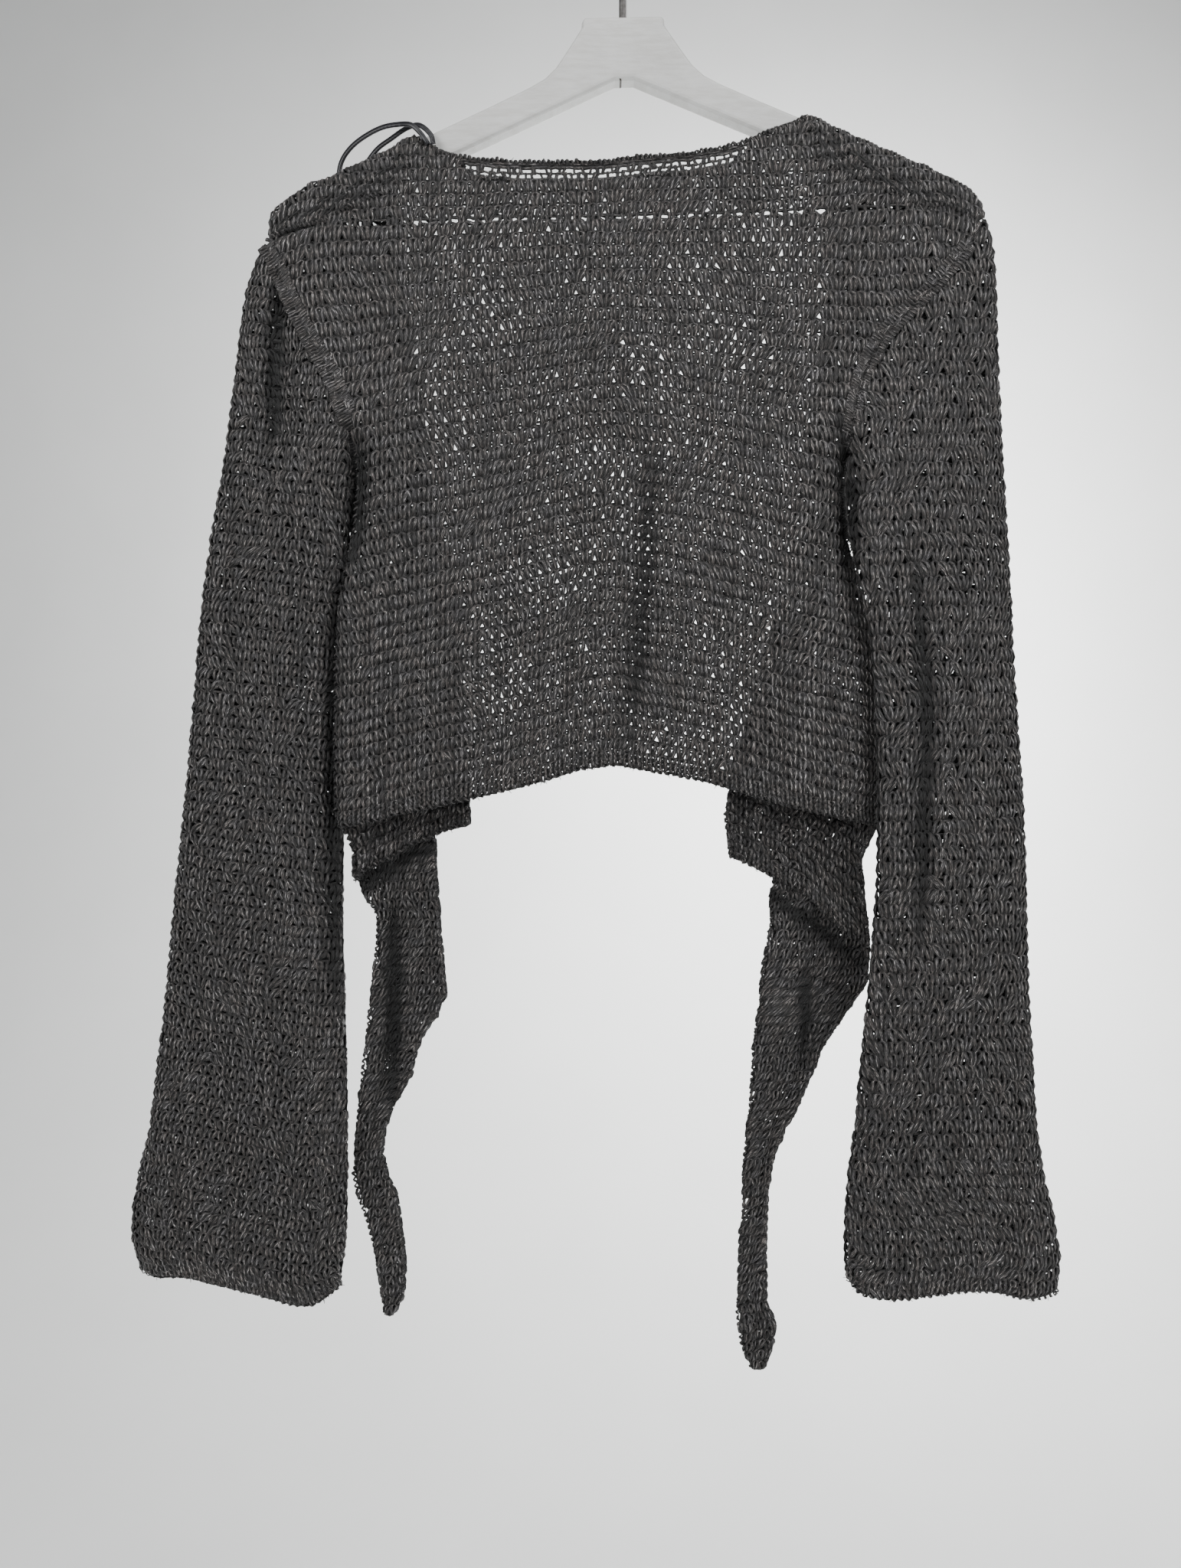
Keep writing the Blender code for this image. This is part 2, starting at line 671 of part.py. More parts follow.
def layer_depth(facing, share, edges, x):
    """Depth of a body layer at x, rounding in to each folded side."""
    full = facing * mix(CREST_HALF, BODY_HALF, ease(share / BODY_FULL_AT))
    depth = full
    for side, (edge_x, edge_y, amount) in edges.items():
        width, power = FOLD_WIDTH[side, facing]
        width = mix(UNDERARM_WIDTH, width, ease((share - ARMHOLE_SHARE) / 0.15))
        reached = fold_share(abs(x - edge_x), width, power)
        depth += (edge_y - full) * (1 - reached) * amount
    return depth


# How fast the curves of a panel's top and hem fade into its rows
TOP_FADE = 3
HEM_FADE = 2


def patch(top, bottom, left, right, u, v):
    """Blends four edges, each a function of a share giving x and z, into a point inside."""
    across_top, across_bottom = top(u), bottom(u)
    down_left, down_right = left(v), right(v)
    corners = (top(0.0), top(1.0), bottom(0.0), bottom(1.0))
    point = []
    for i in range(2):
        blend = mix(down_left[i], down_right[i], u)
        blend += (1 - v) ** TOP_FADE * (across_top[i] - mix(corners[0][i], corners[1][i], u))
        blend += v ** HEM_FADE * (across_bottom[i] - mix(corners[2][i], corners[3][i], u))
        point.append(blend)
    return point


def below_yoke(place, share, run):
    """A point a seam gap below an edge of the yoke, square to it: run is along the edge."""
    x, _, z = yoke_point(place, share)
    before_x, _, before_z = yoke_point(place - run, share)
    after_x, _, after_z = yoke_point(place + run, share)
    along = Vector((after_x - before_x, after_z - before_z)).normalized()
    down = Vector((along.y, -along.x))
    if down.y > 0:
        down.negate()
    from_tip = min(place, YOKE_PLACES[-1] - place)
    gap = SEAM_GAP + TIP_EASE * (1 - ease(from_tip / TIP_EASE_PLACES))
    return x + down.x * gap, z + down.y * gap


def back_top(share):
    return below_yoke(PLACE_AT(share), 0.0, 0.05)


def back_point(u, v):
    """A point of the back: u across from its left side, v down from the pierced seam."""
    left = body_edge("left", BACK, v)
    right = body_edge("right", BACK, v)
    x, z = patch(back_top, HEM_TRACK,
                 lambda share: shifted_edge("left", BACK, share),
                 lambda share: shifted_edge("right", BACK, share), u, v)
    y = layer_depth(BACK, v, {"left": (left[0], left[2], 1.0), "right": (right[0], right[2], 1.0)}, x)
    y += BACK_FOLD_DEPTH * fold_depth(BACK_FOLD, BACK_FOLD_HALF_WIDTH, x, z)
    return x, y, z


def shifted_edge(side, facing, share):
    """A side edge in x and z, lowered at its top by the seam gap."""
    x, z, _ = body_edge(side, facing, share)
    return x, z - (SEAM_GAP + TIP_EASE) * (1 - ease(share / ARMHOLE_SHARE))


OPENING_AT = {
    side: track(list(reversed(rows)), [row.z for row in reversed(rows)])
    for side, rows in OPENING.items()
}
# The rows of a front are level between these shares of its height
LEVEL_FROM = 0.27
LEVEL_TO = 0.6
SLIT_TRACK = {side: line_track(rows) for side, rows in FRONT_SLIT.items()}
FRONT_HEM_TRACK = {side: line_track(rows) for side, rows in FRONT_HEM.items()}
# The share of a front's height above the end of its side seam
SEAM_SHARE = {"left": 0.90, "right": 0.82}
SLIT_RELEASE = 0.04


def front_seam_places(places):
    """The yoke's place at a share of a front's shoulder seam, from its tip to the neck."""
    points = [yoke_point(place, 1.0) for place in places]
    return column_curve(spread_places(points), places)


FRONT_SEAM_PLACE = {
    "left": front_seam_places(YOKE_PLACES[:LEFT_NECK_ROW + 1]),
    "right": front_seam_places(YOKE_PLACES[:RIGHT_NECK_ROW - 1:-1]),
}


def front_side(side, share):
    """A front's outer edge: its armhole, its side seam and the free edge below."""
    seam_share = SEAM_SHARE[side]
    if share <= seam_share:
        return shifted_edge(side, FRONT, share / seam_share)
    row = SLIT_TRACK[side]((share - seam_share) / (1 - seam_share))
    return row.x, row.z


def front_opening(side, share):
    """A front's open edge, level with its side below the shoulder and above the hem."""
    rows = OPENING[side]
    lift_top = rows[0].z - front_side(side, 0.0)[1]
    lift_hem = rows[-1].z - front_side(side, 1.0)[1]
    z = front_side(side, share)[1] + lift_top * (1 - ease(share / LEVEL_FROM))
    z += lift_hem * ease((share - LEVEL_TO) / (1 - LEVEL_TO))
    z = min(max(z, rows[-1].z), rows[0].z)
    return OPENING_AT[side](z).x, z


def front_point(side, u, v):
    """A point of a front: u across from its side to its opening, v down from the shoulder."""
    seam_share = SEAM_SHARE[side]

    def top(share):
        return below_yoke(FRONT_SEAM_PLACE[side](share), 1.0, 0.05)

    x, z = patch(top, FRONT_HEM_TRACK[side], lambda share: front_side(side, share),
                 lambda share: front_opening(side, share), u, v)
    edge_x = front_side(side, v)[0]
    edge_y = body_edge(side, FRONT, min(v / seam_share, 1.0))[2]
    held = 1 - ease((v - seam_share) / SLIT_RELEASE)
    y = layer_depth(FRONT, min(v / seam_share, 1.0), {side: (edge_x, edge_y, held)}, x)
    return x, y, z


# The sleeves

SLEEVE_PLACES = {
    side: spread_places([
        ((row.inner_x + row.outer_x) / 2, (row.inner_z + row.outer_z) / 2) for row in rows
    ]) for side, rows in SLEEVE.items()
}
SLEEVE_TRACK = {side: track(rows, SLEEVE_PLACES[side]) for side, rows in SLEEVE.items()}
CUFF_TRACK = {
    side: track(rows, [row.share for row in rows]) for side, rows in CUFF_LINE.items()
}
SLEEVE_SEAM = {"left": 1.3, "right": 1.3}
UNDERARM_CLEARANCE = 2.2
UNDERARM_REACH = 18.0
BOW_FADE = 0.25
HEAD_FADE = 0.12
SLEEVE_ROUNDNESS = 2.3
CUFF_DROP_POWER = 6


def sleeve_ring_start(side, share):
    """The sleeve's edge on the armhole, moved out from the body by the seam."""
    rows = ARMHOLE[side]
    chord = Vector((rows[-1].x - rows[0].x, rows[-1].z - rows[0].z)).normalized()
    outward = Vector((chord.y, -chord.x))
    if side == "left":
        outward.negate()
    near = math.exp(-(share * ARMHOLE_LENGTH[side] / UNDERARM_REACH) ** 2)
    row = ARMHOLE_TRACK[side](share)
    away = outward * (SLEEVE_SEAM[side] + UNDERARM_CLEARANCE * near)
    return row.x + away.x, row.z + away.y


def sleeve_point(side, facing, across, down):
    """A point of a sleeve: across from the inner to the outer fold, down from the armhole."""
    row = SLEEVE_TRACK[side](down)
    x = mix(row.inner_x, row.outer_x, across)
    z = mix(row.inner_z, row.outer_z, across)
    first = SLEEVE[side][0]
    start_x, start_z = sleeve_ring_start(side, across)
    bow = (1 - min(down / BOW_FADE, 1.0)) ** 2
    x += bow * (start_x - mix(first.inner_x, first.outer_x, across))
    z += bow * (start_z - mix(first.inner_z, first.outer_z, across))
    z -= CUFF_TRACK[side](across).drop * down ** CUFF_DROP_POWER
    length = math.hypot(row.outer_x - row.inner_x, row.outer_z - row.inner_z)
    head = ease(down / HEAD_FADE)
    inner_width = mix(UNDERARM_WIDTH, length / 2, head)
    outer_width = mix(CREST_FALL, length / 2, head)
    inner = fold_share(across * length, inner_width, mix(UNDERARM_POWER, SLEEVE_ROUNDNESS, head))
    outer = fold_share((1 - across) * length, outer_width,
                       mix(CREST_POWER, SLEEVE_ROUNDNESS, head))
    y = mix(row.inner_y, row.outer_y, across) + facing * row.depth / 2 * inner * outer
    if facing == BACK:
        fold = fold_depth(SLEEVE_FOLD[side], SLEEVE_FOLD_HALF_WIDTH[side], x, z)
        y += SLEEVE_FOLD_DEPTH[side] * fold * inner * outer
    return x, y, z


# The ties

TIE_TRACK = {
    side: track(rows, spread_places([((row.left + row.right) / 2, row.z) for row in rows]))
    for side, rows in TIE.items()
}
TIE_FOLD_TRACK = {
    side: track(list(reversed(rows)), [row.z for row in reversed(rows)])
    for side, rows in TIE_FOLD.items()
}


def tie_point(side, across, down):
    """A point of a tie, which hangs behind its front's hem and is folded along its length."""
    row = TIE_TRACK[side](down)
    x = mix(row.left, row.right, across)
    fold_x = TIE_FOLD_TRACK[side](row.z).x
    depth = TIE_FOLD_DEPTH * min((row.right - row.left) / TIE_FULL_WIDTH, 1.0) ** 2
    behind = depth * ease((x - fold_x) / TIE_FOLD_TURN + 0.5)
    return x, BODY_HALF + TIE_SETBACK + row.y + behind, row.z


# Making the objects

def material(name, colour, roughness, metallic=0.0):
    made = bpy.data.materials.new(name)
    made.use_nodes = True
    shader = made.node_tree.nodes["Principled BSDF"]
    shader.inputs["Base Color"].default_value = colour
    shader.inputs["Roughness"].default_value = roughness
    shader.inputs["Metallic"].default_value = metallic
    return made


def add_object(name, data, finish, parent):
    made = bpy.data.objects.new(name, data)
    made.data.materials.append(finish)
    made.parent = parent
    bpy.data.collections["cropped_cardigan"].objects.link(made)
    return made


def cloth_wall(name, rows, closed, finish, parent):
    """A wall of cloth from rows of points, each row a line across, or a ring where closed."""
    width = len(rows[0])
    points = [Vector(point) * MM for row in rows for point in row]
    faces = []
    for r in range(len(rows) - 1):
        for c in range(width if closed else width - 1):
            after = (c + 1) % width
            faces.append((r * width + c, r * width + after,
                          (r + 1) * width + after, (r + 1) * width + c))
    mesh = bpy.data.meshes.new(name)
    mesh.from_pydata(points, [], faces)
    mesh.shade_smooth()
    wall = add_object(name, mesh, finish, parent)
    thickness = wall.modifiers.new("cloth thickness", "SOLIDIFY")
    thickness.thickness = CLOTH * MM
    thickness.offset = 0.0
    thickness.use_even_offset = True
    thickness.use_quality_normals = True
    return wall


def make_yoke(finish, parent):
    shares = [(i / YOKE_ROWS) ** YOKE_ROW_POWER for i in range(YOKE_ROWS + 1)]
    places = sorted(YOKE_PLACES + ADDED_COLUMNS)
    rows = [[yoke_point(place, share) for place in places] for share in shares]
    return cloth_wall("back_yoke", rows, False, finish, parent)


def panel_rows(armhole_share):
    """Shares down a panel: beside its armhole, closest at the underarm, then even to its hem."""
    left = [(1 - i / ARMHOLE_ROWS) ** ARMHOLE_ROW_POWER for i in range(ARMHOLE_ROWS)]
    beside = [armhole_share * (1 - share) for share in left]
    return beside + [mix(armhole_share, 1.0, i / LOWER_ROWS) for i in range(LOWER_ROWS + 1)]


def front_columns(side, v):
    """Shares across a front: close steps in from its fold, then even ones to the opening."""
    width = math.dist(front_opening(side, v), front_side(side, v))
    scale = min(1.0, width / FRONT_FULL_WIDTH) / width
    near = [step * scale for step in FRONT_FOLD_STEPS]
    even = [mix(near[-1], 1.0, i / FRONT_EVEN_COLUMNS) for i in range(1, FRONT_EVEN_COLUMNS + 1)]
    return near + even


def side_columns():
    """Distances from a folded side, as shares of a panel, closer together near the fold."""
    return [0.0, 0.004, 0.013, 0.032, 0.062, 0.11, 0.17]


def make_back(finish, parent):
    fold = 0.558
    near_fold = [fold + step for step in (-0.045, -0.028, -0.014, 0.0, 0.014, 0.028, 0.045)]
    middle = [0.24, 0.31, 0.38, 0.45] + near_fold + [0.67, 0.75]
    edges = side_columns()
    columns = edges + middle + [1 - share for share in reversed(edges)]
    rows = [[back_point(u, v) for u in columns] for v in panel_rows(ARMHOLE_SHARE)]
    return cloth_wall("back_panel", rows, False, finish, parent)


def make_front(side, finish, parent):
    rows = [[front_point(side, u, v) for u in front_columns(side, v)]
            for v in panel_rows(ARMHOLE_SHARE * SEAM_SHARE[side])]
    return cloth_wall(side + "_front", rows, False, finish, parent)


def make_sleeve(side, finish, parent):
    steps = SLEEVE_LAYER_STEPS
    shares = [(1 - math.cos(math.pi * i / steps)) / 2 for i in range(steps + 1)]
    ring = [(BACK, share) for share in shares] + [(FRONT, share) for share in shares[-2:0:-1]]
    rows = [[sleeve_point(side, facing, across, i / SLEEVE_RINGS) for facing, across in ring]
            for i in range(SLEEVE_RINGS + 1)]
    return cloth_wall(side + "_sleeve", rows, True, finish, parent)


def make_tie(side, finish, parent):
    rows = []
    for i in range(TIE_ROWS + 1):
        down = i / TIE_ROWS
        row = TIE_TRACK[side](down)
        fold = (TIE_FOLD_TRACK[side](row.z).x - row.left) / (row.right - row.left)
        fold = min(max(fold, 0.2), 0.8)
        half_turn = TIE_FOLD_TURN / 2 / (row.right - row.left)
        half_turn = min(half_turn, fold * 0.6, (1 - fold) * 0.6)
        before, after = fold - half_turn, fold + half_turn
        columns = [0.0, before / 2, before, fold, after, (1 + after) / 2, 1.0]
        rows.append([tie_point(side, across, down) for across in columns])
    return cloth_wall(side + "_tie", rows, False, finish, parent)


def make_hanger(finish, parent):
    """A flat board cut to the hanger's outline, tilted a little as it hangs."""
    right = [(row.across, row.z) for row in HANGER_HALF]
    left = [(-row.across, row.z) for row in reversed(HANGER_HALF)]
    outline = right + left
    turned = []
    for across, z in outline:
        rise = z - WOOD_TOP
        turned.append((across * math.cos(WOOD_TILT) - rise * math.sin(WOOD_TILT),
                       WOOD_TOP + across * math.sin(WOOD_TILT) + rise * math.cos(WOOD_TILT)))
    points = [Vector((x, 0.0, z)) * MM for x, z in turned]
    mesh = bpy.data.meshes.new("hanger_wood")
    mesh.from_pydata(points, [], [tuple(range(len(points)))])
    wood = add_object("hanger_wood", mesh, finish, parent)
    board = wood.modifiers.new("board", "SOLIDIFY")
    board.thickness = WOOD_THICKNESS * MM
    board.offset = 0.0
    rounding = wood.modifiers.new("rounded edges", "BEVEL")
    rounding.width = WOOD_ROUNDING * MM
    rounding.segments = 3
    rounding.limit_method = "ANGLE"
    rounding.angle_limit = math.radians(50)
    return wood


def hook_route():
    """The hook's wire, from the wood up its stem and over the rod, as points in x and z."""
    bend_z = HOOK_WIRE / 2 - HOOK_BEND
    points = []
    stem_foot = WOOD_TOP + SEAM_GAP
    stem_top = bend_z - HOOK_BEND - 9.0
    points.append((0.0, stem_foot))
    points.append((0.0, stem_top))
    join = math.radians(235)
    join_x = HOOK_BEND * math.cos(join)
    join_z = bend_z + HOOK_BEND * math.sin(join)
    swing = 6
    for i in range(1, swing):
        share = i / swing
        points.append((join_x * ease(share), mix(stem_top, join_z, share)))
    end = math.radians(-28)
    arc_steps = HOOK_STEPS - swing - 2
    for i in range(arc_steps + 1):
        turn = mix(join, end, i / arc_steps)
        points.append((HOOK_BEND * math.cos(turn), bend_z + HOOK_BEND * math.sin(turn)))
    return points


def make_hook(finish, parent):
    data = bpy.data.curves.new("hanger_hook", "CURVE")
    data.dimensions = "3D"
    data.bevel_depth = HOOK_WIRE / 2 * MM
    data.bevel_resolution = 2
    data.use_fill_caps = True
    route = hook_route()
    spline = data.splines.new("POLY")
    spline.points.add(len(route) - 1)
    for point, (x, z) in zip(spline.points, route):
        point.co = (x * MM, 0.0, z * MM, 1.0)
    spline.use_smooth = True
    return add_object("hanger_hook", data, finish, parent)


def make_tape(finish, parent):
    """The tape's flat section carried along its route, standing on edge over the shoulder."""
    places = spread_places([tuple(row) for row in TAPE])
    route = track(TAPE, places)
    rings = []
    for i in range(TAPE_STEPS + 1):
        here = Vector(route(i / TAPE_STEPS))
        ahead = Vector(route(min(i / TAPE_STEPS + 0.01, 1.0)))
        behind = Vector(route(max(i / TAPE_STEPS - 0.01, 0.0)))
        along = ahead - behind
        along = Vector((along.x, along.z, along.y)).normalized()
        flat = Vector((0.0, 1.0, 0.0))
        side = along.cross(flat).normalized()
        face = side.cross(along).normalized()
        middle = Vector((here.x, here.z, here.y))
        ring = []
        for across, through in ((-1, 1), (1, 1), (1, -1), (-1, -1)):
            ring.append(middle + side * across * TAPE_WIDTH / 2
                        + face * through * TAPE_THICKNESS / 2)
        rings.append(ring)
    points = [point * MM for ring in rings for point in ring]
    faces = [(3, 2, 1, 0)]
    for r in range(len(rings) - 1):
        for c in range(4):
            after = (c + 1) % 4
            faces.append((r * 4 + c, r * 4 + after, (r + 1) * 4 + after, (r + 1) * 4 + c))
    last = (len(rings) - 1) * 4
    faces.append((last, last + 1, last + 2, last + 3))
    mesh = bpy.data.meshes.new("hanging_loop")
    mesh.from_pydata(points, [], faces)
    return add_object("hanging_loop", mesh, finish, parent)


def clear_scene():
    for existing in list(bpy.data.objects):
        bpy.data.objects.remove(existing, do_unlink=True)


def main():
    clear_scene()
    collection = bpy.data.collections.new("cropped_cardigan")
    bpy.context.scene.collection.children.link(collection)
    root = bpy.data.objects.new("cardigan_on_hanger", None)
    collection.objects.link(root)
    yarn = material("charcoal knit", YARN_COLOUR, 0.85)
    wood = material("white painted wood", WOOD_COLOUR, 0.45)
    steel = material("hook steel", STEEL_COLOUR, 0.3, 1.0)
    tape = material("dark twill tape", TAPE_COLOUR, 0.7)
    make_hanger(wood, root)
    make_hook(steel, root)
    make_yoke(yarn, root)
    make_back(yarn, root)
    for side in ("left", "right"):
        make_front(side, yarn, root)
        make_sleeve(side, yarn, root)
        make_tie(side, yarn, root)
    make_tape(tape, root)


main()
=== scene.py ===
# %% [markdown]
# # A cropped cardigan on its hanger
# A loosely knitted charcoal cardigan hangs open on a flat painted wooden hanger, its back to the
# viewer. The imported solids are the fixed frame: each cloth piece there is a plain wall, and here
# every wall is replaced by real yarn, looped stitch by stitch over the wall's own middle surface.
# All lengths below are millimetres until the moment a mesh is made.

import math
from functools import partial

import bmesh
import bpy
import numpy as np
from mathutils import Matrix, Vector
from mathutils.bvhtree import BVHTree


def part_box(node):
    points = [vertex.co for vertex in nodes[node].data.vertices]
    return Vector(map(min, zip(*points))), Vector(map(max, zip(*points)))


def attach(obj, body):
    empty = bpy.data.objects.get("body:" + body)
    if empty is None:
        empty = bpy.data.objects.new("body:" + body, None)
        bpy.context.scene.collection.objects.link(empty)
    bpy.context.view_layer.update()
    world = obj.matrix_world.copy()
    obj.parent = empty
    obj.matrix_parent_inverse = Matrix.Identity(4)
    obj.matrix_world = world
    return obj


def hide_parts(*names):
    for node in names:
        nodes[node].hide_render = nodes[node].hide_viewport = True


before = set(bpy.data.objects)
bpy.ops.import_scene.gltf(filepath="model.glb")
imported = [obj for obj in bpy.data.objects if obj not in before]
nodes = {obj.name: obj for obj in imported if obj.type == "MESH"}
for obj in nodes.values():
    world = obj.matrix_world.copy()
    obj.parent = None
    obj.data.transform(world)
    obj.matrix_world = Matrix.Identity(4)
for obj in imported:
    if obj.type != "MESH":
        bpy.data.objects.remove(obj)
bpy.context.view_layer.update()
MM = 0.001
print("pieces in the frame:", sorted(nodes))

# %% [markdown]
# ## Camera
# The photograph was taken from about arm's length, level, a little left of the middle of the
# back. A plain camera looking along +Y gives that view. The lens follows from the distance and
# from how many millimetres of cloth the picture is wide.

# %% Camera
CAMERA_PLACE = (-0.0204, -0.710, -0.5454)
CAMERA_DISTANCE = 700.0
PHOTO_PIXELS = 1542
MM_PER_PIXEL = 0.475
camera_data = bpy.data.cameras.new("camera")
camera_data.sensor_fit = "HORIZONTAL"
camera_data.sensor_width = 36.0
camera_data.lens = camera_data.sensor_width * CAMERA_DISTANCE / (PHOTO_PIXELS * MM_PER_PIXEL)
camera_data.clip_end = 30.0
camera = bpy.data.objects.new("camera", camera_data)
camera.location = CAMERA_PLACE
camera.rotation_euler = (math.radians(90), 0.0, 0.0)
bpy.context.scene.collection.objects.link(camera)
bpy.context.scene.camera = camera
print("lens", round(camera_data.lens, 2), "mm")

# %% [markdown]
# ## Colours and nodes
# Every finish is a node material. Colours are written as the usual sRGB hex values and turned to
# the linear values that shaders work in, and one small function adds a node with its settings
# and links. A link names the node it comes from, with the output where it isn't the first.

# %% Colour and node helpers
def linear(hex_colour):
    """An sRGB hex colour as the linear RGBA that a shader socket takes."""
    channels = []
    for i in (1, 3, 5):
        value = int(hex_colour[i:i + 2], 16) / 255
        channels.append(value / 12.92 if value <= 0.04045 else ((value + 0.055) / 1.055) ** 2.4)
    return (*channels, 1.0)


def set_inputs(node, links=None, values=None):
    """Gives a node its own socket values and the links into it."""
    for socket, value in (values or {}).items():
        node.inputs[socket].default_value = value
    for socket, source in (links or {}).items():
        giver, title = source if isinstance(source, tuple) else (source, None)
        outputs = [out for out in giver.outputs if out.enabled and title in (None, out.name)]
        node.id_data.links.new(outputs[0], node.inputs[socket])


def add_node(tree, kind, links=None, values=None, stops=(), **settings):
    """A shader node with its settings, socket values and links, and with a ramp's stops."""
    node = tree.nodes.new("ShaderNode" + kind)
    for key, value in settings.items():
        setattr(node, key, value)
    for i, (position, colour) in enumerate(stops):
        elements = node.color_ramp.elements
        element = elements[i] if i < len(elements) else elements.new(position)
        element.position = position
        element.color = linear(colour)
    set_inputs(node, links, values)
    return node


def new_material(name):
    """An empty node material, what adds a node to it, and its shader."""
    made = bpy.data.materials.new(name)
    made.use_nodes = True
    return made, partial(add_node, made.node_tree), made.node_tree.nodes["Principled BSDF"]


print("white is", linear("#FFFFFF"))

# %% [markdown]
# ## The yarn's finish
# The yarn is a loosely laid viscose and cotton one: a few fine parallel strands side by side, in
# charcoal with brown and blue strands among the grey. Viscose is smooth, so each strand has a
# soft gloss, and its brightest streaks are painted highlights; the hollows between strands are
# painted shade, nearly black. The material reads two things that the yarn's mesh carries: how
# the yarn lies (its angle round and its distance along), which draws the strands as streaks and
# paints shade on the yarn's sides and on its inner side, and how far it stands out of the cloth,
# which paints shade where a loop passes behind others, because little light gets there. Real
# strands are about a fifth of a millimetre thick, and they are drawn half a millimetre wide, as
# coarse as they have to be to show.

# %% Material: charcoal yarn
STREAKS_ACROSS, STREAK_STRETCH = 2.6, 0.10
STRANDS_ROUND, STRAND_TWIST = 8.0, 30.0
DARK_DEPTH, LIGHT_DEPTH = -3.6, 0.8
# Tones of the yarn's strands; the near-white top stop is a painted highlight, each strand's gloss.
YARN_TONES_AND_HIGHLIGHTS = [(0.35, "#161413"), (0.45, "#3E3B3A"), (0.54, "#7C7876"), (0.65, "#FAF6F4")]
YARN_HUES = [(0.36, "#85695A"), (0.5, "#7C7A79"), (0.64, "#66708A")]
yarn_finish, add, shader = new_material("charcoal_viscose_yarn")
lay = add("Attribute", attribute_name="yarn_lay")
depth = add("Attribute", attribute_name="yarn_depth")
place = add("TexCoord")
drawn_out = add("VectorMath", {0: (lay, "Vector")}, {1: (1.0, 1.0, STREAK_STRETCH)},
          operation="MULTIPLY")
streaks = add("TexNoise", {"Vector": drawn_out},
        {"Scale": STREAKS_ACROSS, "Detail": 3.0, "Roughness": 0.7})
parts = add("SeparateXYZ", {"Vector": (lay, "Vector")})
angle = add("Math", {0: (parts, "Y"), 1: (parts, "X")}, operation="ARCTAN2")
along = add("Math", {0: (parts, "Z")},
      {1: 2 * math.pi * STRANDS_ROUND / STRAND_TWIST}, operation="MULTIPLY")
phase = add("Math", {0: angle, 2: along}, {1: STRANDS_ROUND}, operation="MULTIPLY_ADD")
strand = add("Math", {0: phase}, operation="SINE")
hue = add("TexNoise", {"Vector": (place, "Object")},
    {"Scale": 120.0, "Detail": 2.0, "Roughness": 0.5})
strand_tones_and_highlights = add("ValToRGB", {"Fac": streaks}, stops=YARN_TONES_AND_HIGHLIGHTS)
warm = add("ValToRGB", {"Fac": hue}, stops=YARN_HUES)
colour = add("Mix", {"A": strand_tones_and_highlights, "B": warm}, {"Factor": 0.3}, data_type="RGBA",
       blend_type="OVERLAY")
# Painted shade: the hollows between the strands are darkened in the colour.
strand_hollow_shade = add("ValToRGB", {"Fac": strand}, stops=[(0.0, "#6A6868"), (0.5, "#FFFFFF")])
level = add("MapRange", {"Value": (depth, "Fac")},
      {"From Min": DARK_DEPTH, "From Max": LIGHT_DEPTH})
shade = add("ValToRGB", {"Fac": level},
      stops=[(0.0, "#080707"), (0.48, "#3E3C3C"), (0.77, "#BEBCBC"), (1.0, "#FFFFFF")])
# Painted shade: the yarn's sides, where it turns away from the cloth's face, are darkened, and
# only its crown stays light.
crown = add("Math", {0: (parts, "Y")}, operation="ABSOLUTE")
yarn_side_shade = add("ValToRGB", {"Fac": crown},
    stops=[(0.12, "#0D0C0C"), (0.42, "#7C7A7A"), (0.72, "#FFFFFF")])
# Painted shade: the yarn's inner side, which faces into the garment, is darkened.
facing = add("MapRange", {"Value": (parts, "Y")}, {"From Min": -1.0, "From Max": 0.0})
inner_side_shade = add("ValToRGB", {"Fac": facing}, stops=[(0.0, "#6A6868"), (1.0, "#FFFFFF")])
for darker, share in ((strand_hollow_shade, 0.8), (shade, 1.0), (yarn_side_shade, 1.0), (inner_side_shade, 1.0)):
    colour = add("Mix", {"A": colour, "B": darker}, {"Factor": share},
           data_type="RGBA", blend_type="MULTIPLY")
height = add("Math", {0: strand, 2: streaks}, {1: 0.25}, operation="MULTIPLY_ADD")
bump = add("Bump", {"Height": height}, {"Strength": 0.7, "Distance": 0.0006})
set_inputs(shader, {"Base Color": colour, "Normal": bump},
           {"Roughness": 0.45, "IOR": 1.5, "Sheen Weight": 0.15, "Sheen Roughness": 0.4})
print("made", yarn_finish.name)

# %% [markdown]
# ## The hanging loop's finish
# The loop is a narrow dark tape of polyester, woven as a twill: fine slanting ridges with a
# slight gloss, which the diagonal bands draw.

# %% Material: twill tape
tape_finish, add, shader = new_material("dark_polyester_twill_tape")
place = add("TexCoord")
twill = add("TexWave", {"Vector": (place, "Object")},
      {"Scale": 420.0, "Distortion": 1.5, "Detail": 2.0},
      wave_type="BANDS", bands_direction="DIAGONAL")
colour = add("ValToRGB", {"Fac": (twill, "Fac")}, stops=[(0.2, "#0E0E11"), (0.8, "#2E2E34")])
bump = add("Bump", {"Height": (twill, "Fac")}, {"Strength": 0.4, "Distance": 0.0001})
set_inputs(shader, {"Base Color": colour, "Normal": bump}, {"Roughness": 0.38, "IOR": 1.54})
print("made", tape_finish.name)

# %% [markdown]
# ## The hanging loop
# The tape is sewn in at the left neck point, flops over the shoulder and goes back into the
# seam. It is made as a flat edge extruded along its route, which repeats the points of the
# solid, and Solidify gives it its thickness. It is the only free cord, so it comes first.

